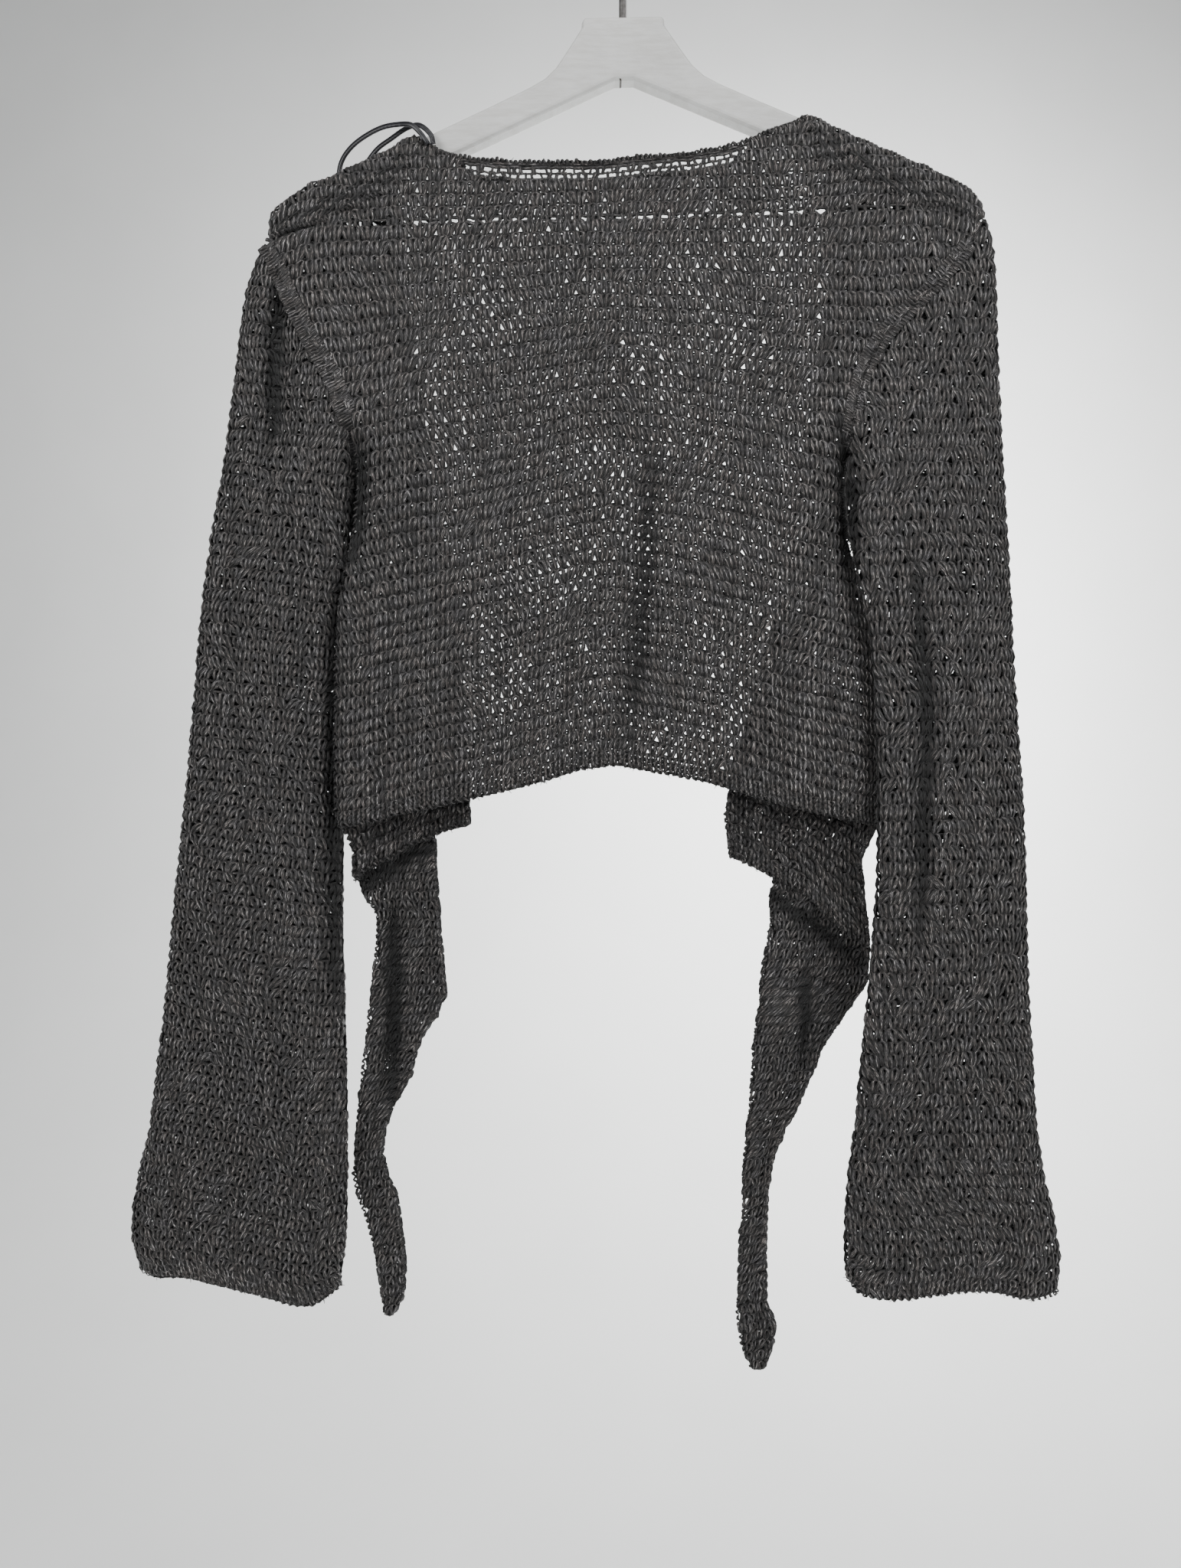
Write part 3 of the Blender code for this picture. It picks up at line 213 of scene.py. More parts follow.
# %% Hanging loop
TAPE_ROUTE = [
    (-121.0, -11.5, -149.0), (-126.0, -11.7, -142.0), (-132.0, -10.6, -136.5),
    (-141.0, -6.5, -134.0), (-151.0, -2.5, -133.5), (-162.0, 2.0, -136.0),
    (-172.0, 6.5, -140.5), (-179.0, 10.5, -147.0), (-181.5, 12.5, -156.0),
    (-180.0, 12.6, -167.0), (-174.5, 12.6, -173.5), (-168.5, 12.6, -167.5),
    (-167.0, 12.4, -157.0), (-163.5, 11.0, -149.0), (-156.0, 7.5, -141.5),
    (-146.0, 2.5, -137.5), (-136.0, -3.0, -134.5), (-127.0, -8.6, -135.6),
    (-119.5, -11.5, -143.0), (-117.6, -11.6, -149.5),
]
TAPE_WIDTH = 3.0
TAPE_THICKNESS = 0.7
TAPE_STEP = 1.6
CURVE_PARTS = 24


def run_along(points):
    """The distance along a line of points, at each of them."""
    return np.concatenate([[0], np.cumsum(np.linalg.norm(np.diff(points, axis=0), axis=1))])


def points_at(places, run, line):
    """A line's points at other distances than the ones it has."""
    return np.stack([np.interp(places, run, line[:, i]) for i in range(3)], axis=1)


def smooth_line(points, step):
    """Points an even step apart on a smooth curve through the ones given, and its length."""
    points = np.array(points, float)
    ends = np.vstack([2 * points[0] - points[1], points, 2 * points[-1] - points[-2]])
    t = np.linspace(0, 1, CURVE_PARTS, endpoint=False)[:, None]
    fine = []
    for a, b, c, d in zip(ends, ends[1:], ends[2:], ends[3:]):
        fine.append(0.5 * (2 * b + (c - a) * t + (2 * a - 5 * b + 4 * c - d) * t ** 2
                           + (3 * b - a - 3 * c + d) * t ** 3))
    fine = np.vstack(fine + [points[-1:]])
    run = run_along(fine)
    even = np.linspace(0, run[-1], max(2, round(run[-1] / step) + 1))
    return points_at(even, run, fine), run[-1]


def take_mesh(name, made):
    """What was built in a bmesh, as a smooth mesh."""
    mesh = bpy.data.meshes.new(name)
    made.to_mesh(mesh)
    made.free()
    mesh.shade_smooth()
    return mesh


def coat(mesh, finish):
    """Gives a mesh its one finish."""
    mesh.materials.clear()
    mesh.materials.append(finish)


def place_mesh(name, mesh, finish):
    """A finished mesh as an object at the origin that rides on the garment's body."""
    coat(mesh, finish)
    made = bpy.data.objects.new(name, mesh)
    bpy.context.scene.collection.objects.link(made)
    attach(made, "root")
    return made


tape_line, tape_length = smooth_line(TAPE_ROUTE, TAPE_STEP)
tape = bmesh.new()
edge = None
for middle, along in zip(tape_line, np.gradient(tape_line, axis=0)):
    across = Vector(along).cross(Vector((0, 1, 0))).normalized() * TAPE_WIDTH / 2
    ends = [(Vector(middle) - across) * MM, (Vector(middle) + across) * MM]
    if edge is None:
        edge = tape.edges.new([tape.verts.new(end) for end in ends])
        continue
    grown = bmesh.ops.extrude_edge_only(tape, edges=[edge])["geom"]
    edge = next(part for part in grown if isinstance(part, bmesh.types.BMEdge))
    for vertex, end in zip(edge.verts, ends):
        vertex.co = end
bmesh.ops.solidify(tape, geom=list(tape.faces), thickness=TAPE_THICKNESS * MM)
bmesh.ops.recalc_face_normals(tape, faces=list(tape.faces))
tape_mesh = take_mesh("hanging_loop_tape", tape)
tape_loop = place_mesh(tape_mesh.name, tape_mesh, tape_finish)
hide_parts("hanging_loop")
print("hanging loop", round(tape_length, 1), "mm long")

# %% [markdown]
# ## The hanger's paint
# The hanger is sawn softwood under white acrylic paint, rolled on. Paint on wood is never quite
# even: it has the roller's fine orange peel, a faint grain beneath and softened edges with a
# little wear. At the top, under the neck, the two arms meet in a glued finger joint, and the
# paint has sunk along it in a fine dark zigzag.

# %% Material: painted wood
JOINT_X = -3.0
JOINT_TOP, JOINT_FOOT = -104.5, -114.0
TOOTH = 3.0
JOINT_LINE = 0.6
GRAIN_STRETCH = 6.0
paint, add, shader = new_material("white_acrylic_paint_on_pine")
place = add("TexCoord")
spot = (place, "Object")
stretch = add("Mapping", {"Vector": spot}, {"Scale": (1.0, 1.0, GRAIN_STRETCH)})
grain = add("TexNoise", {"Vector": stretch}, {"Scale": 60.0, "Detail": 5.0, "Roughness": 0.65})
peel = add("TexNoise", {"Vector": spot}, {"Scale": 900.0, "Detail": 2.0})
smudge = add("TexNoise", {"Vector": spot}, {"Scale": 22.0, "Detail": 4.0, "Roughness": 0.7})
colour = add("ValToRGB", {"Fac": smudge}, stops=[(0.3, "#E9E9E7"), (0.65, "#F4F4F2")])
under = add("ValToRGB", {"Fac": grain}, stops=[(0.35, "#E4E2DE"), (0.6, "#FFFFFF")])
axes = add("SeparateXYZ", {"Vector": spot})
teeth = add("Math", {0: (axes, "Z")}, {1: TOOTH * MM}, operation="PINGPONG")
across = add("Math", {0: (axes, "X"), 1: teeth}, operation="SUBTRACT")
on_line = add("Math", {0: across},
        {1: (JOINT_X - TOOTH / 2) * MM, 2: JOINT_LINE * MM}, operation="COMPARE")
in_reach = add("Math", {0: (axes, "Z")},
         {1: (JOINT_TOP + JOINT_FOOT) / 2 * MM, 2: (JOINT_TOP - JOINT_FOOT) / 2 * MM},
         operation="COMPARE")
joint = add("Math", {0: on_line, 1: in_reach}, operation="MULTIPLY")
joint_tone = add("ValToRGB", {"Fac": joint}, stops=[(0.0, "#FFFFFF"), (1.0, "#3C322B")])
for darker, share in ((under, 0.5), (joint_tone, 1.0)):
    colour = add("Mix", {"A": colour, "B": darker}, {"Factor": share},
           data_type="RGBA", blend_type="MULTIPLY")
height = add("Math", {0: grain, 2: peel}, {1: 0.6}, operation="MULTIPLY_ADD")
bump = add("Bump", {"Height": height}, {"Strength": 0.25, "Distance": 0.0004})
set_inputs(shader, {"Base Color": colour, "Normal": bump}, {"Roughness": 0.42, "IOR": 1.49})
coat(nodes["hanger_wood"].data, paint)
print("painted the hanger with", paint.name)

# %% [markdown]
# ## The hook's steel
# The hook is zinc-plated steel wire, drawn through a die, so its fine marks run along the wire
# and its shine is a little dulled. A metal's colour is all in its reflection.

# %% Material: plated wire
steel, add, shader = new_material("zinc_plated_drawn_steel_wire")
place = add("TexCoord")
marks = add("TexNoise", {"Vector": (place, "Object")},
      {"Scale": 300.0, "Detail": 4.0, "Roughness": 0.6})
colour = add("ValToRGB", {"Fac": marks}, stops=[(0.3, "#5F5D5B"), (0.7, "#8B8987")])
rough = add("MapRange", {"Value": marks}, {"To Min": 0.22, "To Max": 0.4})
set_inputs(shader, {"Base Color": colour, "Roughness": rough}, {"Metallic": 1.0})
coat(nodes["hanger_hook"].data, steel)
print("plated the hook with", steel.name)

# %% [markdown]
# ## Following a wall
# A knitter thinks of a piece as courses, one above the other, each so many stitches wide. To
# loop yarn over the solid's wall, each course line is followed across the wall by casting rays
# at it, from behind the garment or from the front. The last step to an edge of the wall is
# halved a few times, so that the yarn ends where the solid does.

# %% Following a wall
HALF_CLOTH = 1.0
RAY_STEP = 1.2
OUTLINE_STEP = 2.0
FAR_OUT = 200.0
BEHIND, IN_FRONT = -1, 1


def solid_tree(node):
    """The solid's faces, in millimetres, ready for casting rays."""
    mesh = nodes[node].data
    points = [vertex.co / MM for vertex in mesh.vertices]
    return BVHTree.FromPolygons(points, [tuple(face.vertices) for face in mesh.polygons])


def box_of(node):
    """Lowest and highest corner of a node in millimetres."""
    low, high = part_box(node)
    return low / MM, high / MM


def touch(tree, origin, direction):
    """The middle of the wall where a ray meets it, or None."""
    hit, normal, _, _ = tree.ray_cast(Vector(origin), Vector(direction))
    return None if hit is None else np.array(hit - normal * HALF_CLOTH)


def touch_level(tree, side, x, z):
    """The wall's middle at a place, met from behind the garment or from in front of it."""
    return touch(tree, (x, side * FAR_OUT, z), (0, -side, 0))


def edge_between(inside, outside, rounds, meet):
    """The outermost place that still meets the wall, found by halving, and the point met."""
    last = None
    for _ in range(rounds):
        middle = (inside + outside) / 2
        point = meet(middle)
        if point is None:
            outside = middle
        else:
            inside, last = middle, point
    return inside, last


def cross_wall(tree, side, x_from, x_to, height):
    """The wall's middle along a course line, from edge to edge, or None where it misses."""
    def meet(x):
        return touch_level(tree, side, x, height(x))

    step = math.copysign(RAY_STEP, x_to - x_from)
    found = [(x, meet(x)) for x in np.arange(x_from, x_to, step)]
    hits = [(x, point) for x, point in found if point is not None]
    if len(hits) < 2:
        return None
    (first_x, _), (last_x, _) = hits[0], hits[-1]
    _, first = edge_between(first_x, first_x - step, 6, meet)
    _, last = edge_between(last_x, last_x + step, 6, meet)
    line = [first, *(point for _, point in hits), last]
    return np.array([point for point in line if point is not None])


def outline(tree, side, xs, z_from, z_to):
    """The first height at which the wall is met at each x, going from one height to another."""
    step = math.copysign(OUTLINE_STEP, z_to - z_from)
    heights = []
    for x in xs:
        meet = lambda z, x=x: touch_level(tree, side, x, z)
        found = next((z for z in np.arange(z_from, z_to, step) if meet(z) is not None), None)
        heights.append(np.nan if found is None
                       else edge_between(found, found - step, 5, meet)[0])
    heights = np.array(heights)
    known = ~np.isnan(heights)
    return np.interp(xs, np.array(xs)[known], heights[known])


print("rays start", FAR_OUT, "mm out")

# %% [markdown]
# ## Folds
# The sleeves, the back's sides and the ties hang in long soft creases. Each is pressed into the
# cloth along a route read from the photograph, as deep as its shadow there suggests, and its
# depth also paints shade into the yarn's colour. The later routes on each tie lie just under the
# lower edge of a front's flap: they stand for the shadow that the flap casts there.

# %% Folds
FOLDS = {
    "left": [([(-214, -229), (-216, -262), (-218, -296), (-219, -333)], 4.2, 4.0),
             ([(-164, -334), (-167, -381), (-171, -409)], 6.0, 5.0),
             ([(-171, -398), (-178, -422), (-181, -450), (-183, -518), (-183, -596),
               (-181, -690)], 4.0, 3.4)],
    "right": [([(134, -316), (139, -341), (141, -374), (141, -404), (140, -422)], 4.0, 3.6),
              ([(178, -405), (182, -450), (186, -500), (184, -577), (182, -655)], 4.0, 3.2)],
    "middle": [([(24, -335), (16, -373), (14, -407), (11, -439), (7, -486), (4, -530)], 6.0,
                2.0)],
    "left_tie": [([(-147, -624), (-147, -691), (-148, -756)], 4.5, 4.0),
                 ([(-170, -616), (-152, -603), (-136, -591), (-116, -585)], 4.5, 3.0),
                 ([(-166, -609), (-158, -603), (-151, -597)], 4.0, 5.0)],
    "right_tie": [([(117, -664), (117, -727)], 4.0, 3.2),
                  ([(88, -611), (110, -627), (132, -643), (158, -664)], 4.5, 3.0)],
}
ROUTE_STEP = 3.0


def fold_depth(points, folds):
    """How far folds press points in, in millimetres, going by their place seen from behind.
    Each fold is a route of (x, z), a half width and a depth, and it fades out at its ends."""
    depth = np.zeros(points.shape[:-1])
    for route, half_width, deepest in folds:
        line, _ = smooth_line([(x, 0.0, z) for x, z in route], ROUTE_STEP)
        gaps = np.hypot(points[..., None, 0] - line[:, 0], points[..., None, 2] - line[:, 2])
        fade = np.sin(math.pi * (gaps.argmin(axis=-1) + 0.5) / len(line)) ** 0.5
        depth = np.maximum(depth, deepest * fade * np.exp(-(gaps.min(axis=-1) / half_width) ** 2))
    return depth


print(sum(len(folds) for folds in FOLDS.values()), "folds")

# %% [markdown]
# ## Laying a piece out flat
# The points found on a wall are measured along the cloth. That gives a map from flat knitting
# (millimetres across, millimetres down) to the hung cloth. Stitches are worked out on the flat
# map and carried over, so they keep their size where the cloth turns over a fold.

# %% A piece of cloth as a flat map
MAP_STEP = 3.0
EDGE_STEP = 2.0
FAR_SIDE = 1e4
TURNED_TO_VIEWER = -0.2
NEARLY_CLOSED = 0.3
SLACK = 0.01


def unit(vectors):
    """Vectors made one long."""
    return vectors / np.maximum(np.linalg.norm(vectors, axis=-1, keepdims=True), 1e-6)


class FlatMap:
    """A piece laid out flat: a is the distance along a line of the cloth, b says which line."""
    upward = -1

    def __init__(self, lines, first, folds=()):
        known = [i for i, line in enumerate(lines) if line is not None]
        self.first_b = first + known[0] * MAP_STEP
        self.last_b = first + known[-1] * MAP_STEP
        lines = [lines[min(known, key=lambda k: abs(k - i))] for i in
                 range(known[0], known[-1] + 1)]
        self.low = np.array([run[0] for run, _ in lines])
        self.high = np.array([run[-1] for run, _ in lines])
        self.start = self.low.min()
        self.places = np.arange(self.start, self.high.max() + MAP_STEP, MAP_STEP)
        self.grid = np.array([points_at(self.places, run, points) for run, points in lines])
        self.sunk = fold_depth(self.grid, folds) * (self.outward()[:, :, 1] < TURNED_TO_VIEWER)
        self.grid[:, :, 1] += self.sunk
        self.normals = self.outward()

    def outward(self):
        """The cloth's outward direction at every point of the grid. A closed tube faces all
        ways, so there the half that lies nearer to the viewer decides."""
        normals = unit(np.cross(np.gradient(self.grid, axis=1), np.gradient(self.grid, axis=0)))
        facing = normals[:, :, 1].mean()
        if abs(facing) < NEARLY_CLOSED:
            depth = self.grid[:, :, 1]
            facing = -(normals[:, :, 1] * (depth - depth.mean())).mean()
        return -math.copysign(1, facing) * normals

    def line_at(self, b):
        """Which sampled line a b falls on, and how far past it."""
        line = (np.clip(b, self.first_b, self.last_b) - self.first_b) / MAP_STEP
        before = np.minimum(line.astype(int), len(self.low) - 2)
        return before, line - before

    def span(self, b):
        """The cloth's first and last distance along a line."""
        before, share = self.line_at(np.asarray(b, float))
        return (self.low[before] * (1 - share) + self.low[before + 1] * share,
                self.high[before] * (1 - share) + self.high[before + 1] * share)

    def across(self, b):
        """Even places from edge to edge of a line."""
        return np.arange(*self.span(b), EDGE_STEP)

    def downs(self):
        """Even places down the cloth, for yarn along its side edges."""
        return np.arange(self.first_b, self.last_b, EDGE_STEP)

    def holds(self, a, b, spare):
        """Whether a place is on the cloth, or no more than a spare distance past its edges."""
        low, high = self.span(b)
        return ((a >= low - spare) & (a <= high + spare)
                & (b >= self.first_b - SLACK) & (b <= self.last_b + SLACK))

    def at(self, a, b):
        """Points of the cloth, outward directions and how deep they lie in a fold.
        A place off the cloth goes to its edge."""
        a, b = np.broadcast_arrays(np.asarray(a, float), np.asarray(b, float))
        before, share = self.line_at(b)
        low, high = self.span(b)
        column = (np.clip(a, low, high) - self.start) / MAP_STEP
        left = np.minimum(column.astype(int), len(self.places) - 2)
        part = (column - left)[:, None]
        share = share[:, None]
        found = []
        for table in (self.grid, self.normals, self.sunk[:, :, None]):
            upper = table[before, left] * (1 - part) + table[before, left + 1] * part
            lower = table[before + 1, left] * (1 - part) + table[before + 1, left + 1] * part
            found.append(upper * (1 - share) + lower * share)
        points, normals, sunk = found
        return points, unit(normals), sunk[:, 0]


class TurnedMap:
    """A flat map that is knitted the other way: its courses go from line to line, and up."""
    upward = 1

    def __init__(self, cloth):
        self.cloth = cloth

    def span(self, b):
        return self.cloth.first_b, self.cloth.last_b

    def holds(self, a, b, spare):
        return self.cloth.holds(b, a, spare)

    def at(self, a, b):
        return self.cloth.at(b, a)


def measured(points, anchor_x=None):
    """A line of points with its distances along the cloth, from an anchor or its middle."""
    run = run_along(points[:, :2])
    keep = np.concatenate([[True], np.diff(run) > 1e-6])
    run, points = run[keep], points[keep]
    start = run[-1] / 2 if anchor_x is None else np.interp(anchor_x, points[:, 0], run)
    return run - start, points


print("maps have a point every", MAP_STEP, "mm")

# %% [markdown]
# ## One course of stitches
# In plain knitting the yarn runs through a course as a wave that leans in on itself: up one leg,
# over a head, down the other leg and along to the next stitch. The legs lie on the face of the
# cloth, and the heads and feet pass behind, where the next courses hold them. This garment shows
# its stitches upside down, so each pair of legs meets at the top. Three sines give the whole
# wave: across, up and through the cloth. Every stitch differs a little from the next in size,
# height and lean, as in worn knitting, and round a hole the yarn is pushed aside. A piece's look
# gathers what sets its stitches apart from another's.

# %% Stitches
LEAN, LOOP_HEIGHT = 0.21, 0.53
LEG_PROUD, TOP_PROUD = 0.85, 0.45
UNEVEN, SLANT_UNEVEN, LEVEL_UNEVEN = 0.08, 0.2, 0.07
SHIFT_UNEVEN, PROUD_UNEVEN, WIDTH_UNEVEN, WIDTH_TENSION = 0.6, 3.0, 1.2, 0.09
YARN_WIDTH, NECK, WIDEST = 0.285, 0.28, 1.1
WHOLE_DRIFT_PITCH, SIDE_DRIFT = 8, 0.5
DRIFTS = ((0.5, 23, 41, 0.7), (0.4, 11, -17, 2.1), (0.3, 37, 9, 0.0))
SPARE_COURSE, SPARE_STITCH = 0.45, 0.35
# Painted shade: how much a fold's depth darkens the yarn's colour.
FOLD_PAINTED_SHADE = 1.1
EIGHTHS = (0, 1, 2, 3, 4, 5, 6, 7)
HOLE_YARN, HOLE_REACH, HOLE_EYE = 1.4, 1.6, 0.05
HOLES = []
draw = np.random.default_rng(11)


def drift(a, b):
    """Slow unevenness of the knitting's tension, in millimetres."""
    return sum(size * np.sin(a / wave_a + b / wave_b + start)
               for size, wave_a, wave_b, start in DRIFTS)


def lean_drift(stitches, down):
    """Slow change of the stitches' lean, along a course and from course to course."""
    return 0.16 * np.sin(stitches * 0.31 + down / 29) + 0.12 * np.sin(down / 13 + 1.3)


def pushed_aside(points):
    """Points moved out of the way round every hole, each with its place and its radius."""
    for x, z, radius in HOLES:
        away = points[:, ::2] - (x, z)
        far = np.maximum(np.linalg.norm(away, axis=1), HOLE_EYE)
        clear, reach = radius + HOLE_YARN, HOLE_REACH * (radius + HOLE_YARN)
        near = far < reach
        moved = clear + far * (1 - 1 / HOLE_REACH)
        points[near, ::2] += (away * ((moved - far) / far)[:, None])[near]
    return points


def stitch_wave(cloth, stitches, course, look):
    """The yarn of neighbouring stitches: its points, outward directions, widths and depths."""
    down, pitch = course
    eighths = [look["points"][int(stitch >= 1)] for stitch in stitches]
    owner = np.repeat(np.arange(len(stitches)), [len(parts) for parts in eighths])
    turn = stitches[owner] + np.concatenate(eighths) / 8
    t = turn * 2 * math.pi
    wobble = look["uneven"] * draw.normal(0, UNEVEN, (4, len(stitches)))[:, owner]
    lean_here = lean_drift(stitches, down)
    lean_here += look["ragged"] * draw.normal(0, SLANT_UNEVEN, len(stitches))
    slant = look["slant"] + lean_here[owner]
    rise = pitch * look["height"] * (1 + wobble[2]) * -np.cos(t)
    level = down + look["uneven"] * draw.normal(0, LEVEL_UNEVEN, len(stitches))[owner] * pitch
    b = level + cloth.upward * rise
    wale = look["wale"](b)
    a = wale * (turn + LEAN * (1 + wobble[0]) * np.sin(2 * t) + wobble[1] * SHIFT_UNEVEN)
    a = a + slant * rise
    tension = drift(a, b)
    b = b + tension * min(pitch / WHOLE_DRIFT_PITCH, 1)
    a = a + drift(b + 50, a) * SIDE_DRIFT
    out = -LEG_PROUD * np.cos(2 * t) - TOP_PROUD * np.cos(t) + wobble[3] * PROUD_UNEVEN
    points, normals, sunk = cloth.at(a, b)
    width = YARN_WIDTH * look["fullness"] * min(float(np.mean(wale)), pitch * WIDEST)
    width = width * (1 - NECK * np.cos(t) ** 2) * (
        1 + wobble[1] * WIDTH_UNEVEN + WIDTH_TENSION * tension)
    points = pushed_aside(points + normals * out[:, None])
    # The depth that the finish shades by carries a fold's painted shade.
    return points, normals, width, out - sunk * FOLD_PAINTED_SHADE


def stitch_look(wale, fullness=1.0, slant=0.0, uneven=1.0, ragged=1.0, height=LOOP_HEIGHT,
                points=(EIGHTHS, EIGHTHS)):
    """How a piece is stitched: the stitch's width, how full the yarn is, how it leans, how
    uneven its loops are in size and in lean, how much of a course's height they reach, and at
    which eighths of a stitch the yarn gets points, before the line that is counted from and past
    it."""
    wale_at = wale if callable(wale) else lambda b: np.full(np.shape(b), float(wale))
    return {"wale": wale_at, "fullness": fullness, "slant": slant, "uneven": uneven,
            "ragged": ragged, "height": height, "points": points}


def stretches(held):
    """Start and end of every unbroken run of places that are on the cloth."""
    breaks = np.flatnonzero(np.diff(np.concatenate([[0], held.astype(int), [0]])))
    return zip(breaks[::2], breaks[1::2])


def course_strands(cloth, course, look):
    """The yarn of one course, split wherever the piece has no cloth."""
    down, pitch = course
    wale = float(look["wale"](np.array(down)))
    low, high = cloth.span(down)
    stitches = np.arange(math.floor(low / wale), math.ceil(high / wale) + 1)
    spare = pitch * SPARE_COURSE if cloth.upward > 0 else wale * SPARE_STITCH
    on_cloth = cloth.holds(stitches * wale, np.full(len(stitches), down, float), spare)
    return [stitch_wave(cloth, stitches[start:end], course, look)
            for start, end in stretches(on_cloth) if end - start > 1]


print("a look names", sorted(stitch_look(5.0)))

# %% [markdown]
# ## Yarn beside the stitches
# Not all the yarn is in the loops. Edges are overcast, seams have plain yarn laid in them, short
# threads cross the open rows, and loose strands cross the holes or stand out round the edges.

# %% Other yarn
EDGE_UNEVEN, EDGE_POINTS = 0.2, 6
PLAIN_STEP, PLAIN_WANDER = 2.4, 0.18
FINE_LEVELS, FINE_WANDER, FINE_BEHIND = (-0.34, 0.34), 0.35, 0.9
FINE_WIDTHS, FINE_DEPTH = (0.55, 0.85), -1.0
RUNG_REACH, RUNG_WANDER = 0.2, 0.3
RUNG_SHAPE = np.array([0.9, 1.1, 0.9, 1.1, 0.9])
FIBRE_LENGTH, FIBRE_SHAPE, FIBRE_DEPTH = 3.0, np.array([0.27, 0.22, 0.12]), 0.7


def along_line(cloth, a, b, step):
    """Points an even step apart along a line drawn on the flat map, with their directions."""
    points, normals, sunk = cloth.at(a, b)
    run = run_along(points)
    places = np.arange(0, run[-1], step)
    return (places, points_at(places, run, points), points_at(places, run, normals),
            np.interp(places, run, sunk))


def edge_yarn(cloth, a, b, reach=1.3, turn_length=4.4, width=0.85):
    """An edging: yarn wound round a piece's edge, as an overcast hem is."""
    places, line, out, sunk = along_line(cloth, a, b, turn_length / EDGE_POINTS)
    if len(places) < 8:
        return []
    side = np.cross(unit(np.gradient(line, axis=0)), out)
    turn = places / turn_length * 2 * math.pi
    size = reach * (1 + draw.normal(0, EDGE_UNEVEN, len(places)))
    away = out * (size * np.cos(turn))[:, None] + side * (size * np.sin(turn))[:, None]
    widths = width * (1 + draw.normal(0, EDGE_UNEVEN, len(places)))
    # Its depth carries a fold's painted shade.
    return [(line + away, away / size[:, None], widths, 0.2 - sunk * FOLD_PAINTED_SHADE)]


def side_edges(cloth, downs, *yarn):
    """The edging of a piece's two side edges."""
    return edge_yarn(cloth, -FAR_SIDE, downs, *yarn) + edge_yarn(cloth, FAR_SIDE, downs, *yarn)


def plain_yarn(cloth, a, b, width):
    """Yarn laid along a line of the cloth with only a slight wander."""
    places, line, out, sunk = along_line(cloth, a, b, PLAIN_STEP)
    wander = draw.normal(0, PLAIN_WANDER, len(places))
    # Its depth carries a fold's painted shade.
    return [(line + out * wander[:, None], out, width, wander - sunk * FOLD_PAINTED_SHADE)]


def fine_strands(cloth, course, wale):
    """The yarn's loosest strand, which slips out and crosses the holes of a course."""
    down, pitch = course
    strands = []
    for level in FINE_LEVELS:
        low, high = cloth.span(down)
        along = np.arange(low, high, wale) + draw.normal(0, 0.5)
        across = down + level * pitch + draw.normal(0, FINE_WANDER, len(along))
        for start, end in stretches(cloth.holds(along, across, 0)):
            if end - start < 3:
                continue
            points, normals, sunk = cloth.at(along[start:end], across[start:end])
            strands.append((points - normals * FINE_BEHIND, normals, draw.uniform(*FINE_WIDTHS),
                            FINE_DEPTH - sunk))
    return strands


def rungs(ends_a, ends_b, width, sag=0.0, depth=-0.4):
    """Short lengths of yarn across a gap between two edges."""
    strands = []
    for start, end, deep in zip(ends_a, ends_b, np.broadcast_to(depth, len(ends_a))):
        past = (end - start) * RUNG_REACH
        middle = (start + end) / 2 + [draw.normal(0, 0.2), sag, draw.normal(0, RUNG_WANDER)]
        strands.append((np.array([start - past, start, middle, end, end + past]),
                        [0.0, -1.0, 0.0], width * RUNG_SHAPE, deep))
    return strands


def stray_fibres(cloth, a, b, count):
    """Broken ends of single strands that stand out round an edge."""
    places, line, out, _ = along_line(cloth, a, b, 0.5)
    strands = []
    for place in draw.integers(0, len(places), count):
        away = draw.normal(0, 1, 3) + [0, 0, -0.5]
        away *= FIBRE_LENGTH * draw.uniform(0.4, 1.2) / np.linalg.norm(away)
        bend = draw.normal(0, 0.3, 3) * FIBRE_LENGTH * 0.5
        points = line[place] + np.array([away * 0, away * 0.5 + bend, away])
        strands.append((points, out[place], FIBRE_SHAPE, FIBRE_DEPTH))
    return strands


print("edges turn every", EDGE_POINTS, "points")

# %% [markdown]
# ## Yarn as a mesh
# A curve with a four-sided bevel makes the tubes, one for each strand. Then each ring of four
# points is set flat on the cloth, because a soft yarn lies wider than it is thick. The mesh
# keeps how the yarn lies and how deep, for its finish. Cloth with two faces, as the open fronts
# and the ties are, has no inside, so its yarn gets no painted shade on its inner side and is as
# light behind as in front.

# %% A piece's yarn
YARN_FLATNESS, THINNEST = 0.38, 0.28
SIDES = 4
CLOSEST = 0.03
STRAND_SHIFT = 3.7


def distinct(strand):
    """A strand without points that fall on the one before, which a curve would drop.
    An outward direction, width or depth that is the same all along is given once."""
    points, out, width, depth = strand
    keep = np.linalg.norm(np.diff(points, axis=0), axis=1) > CLOSEST
    keep = np.concatenate([[True], keep])
    return (points[keep], np.broadcast_to(out, points.shape)[keep],
            *(np.broadcast_to(values, len(points))[keep] for values in (width, depth)))


def tubes(name, lines):
    """A mesh of square tubes along lines of points."""
    data = bpy.data.curves.new(name, "CURVE")
    data.dimensions = "3D"
    data.bevel_depth = MM
    data.bevel_resolution = 0
    for points in lines:
        spline = data.splines.new("POLY")
        spline.points.add(len(points) - 1)
        flat = np.ones((len(points), 4), np.float32)
        flat[:, :3] = points * MM
        spline.points.foreach_set("co", flat.ravel())
    holder = bpy.data.objects.new(name + "_line", data)
    bpy.context.scene.collection.objects.link(holder)
    mesh = bpy.data.meshes.new_from_object(holder)
    bpy.data.objects.remove(holder)
    bpy.data.curves.remove(data)
    mesh.name = name
    return mesh


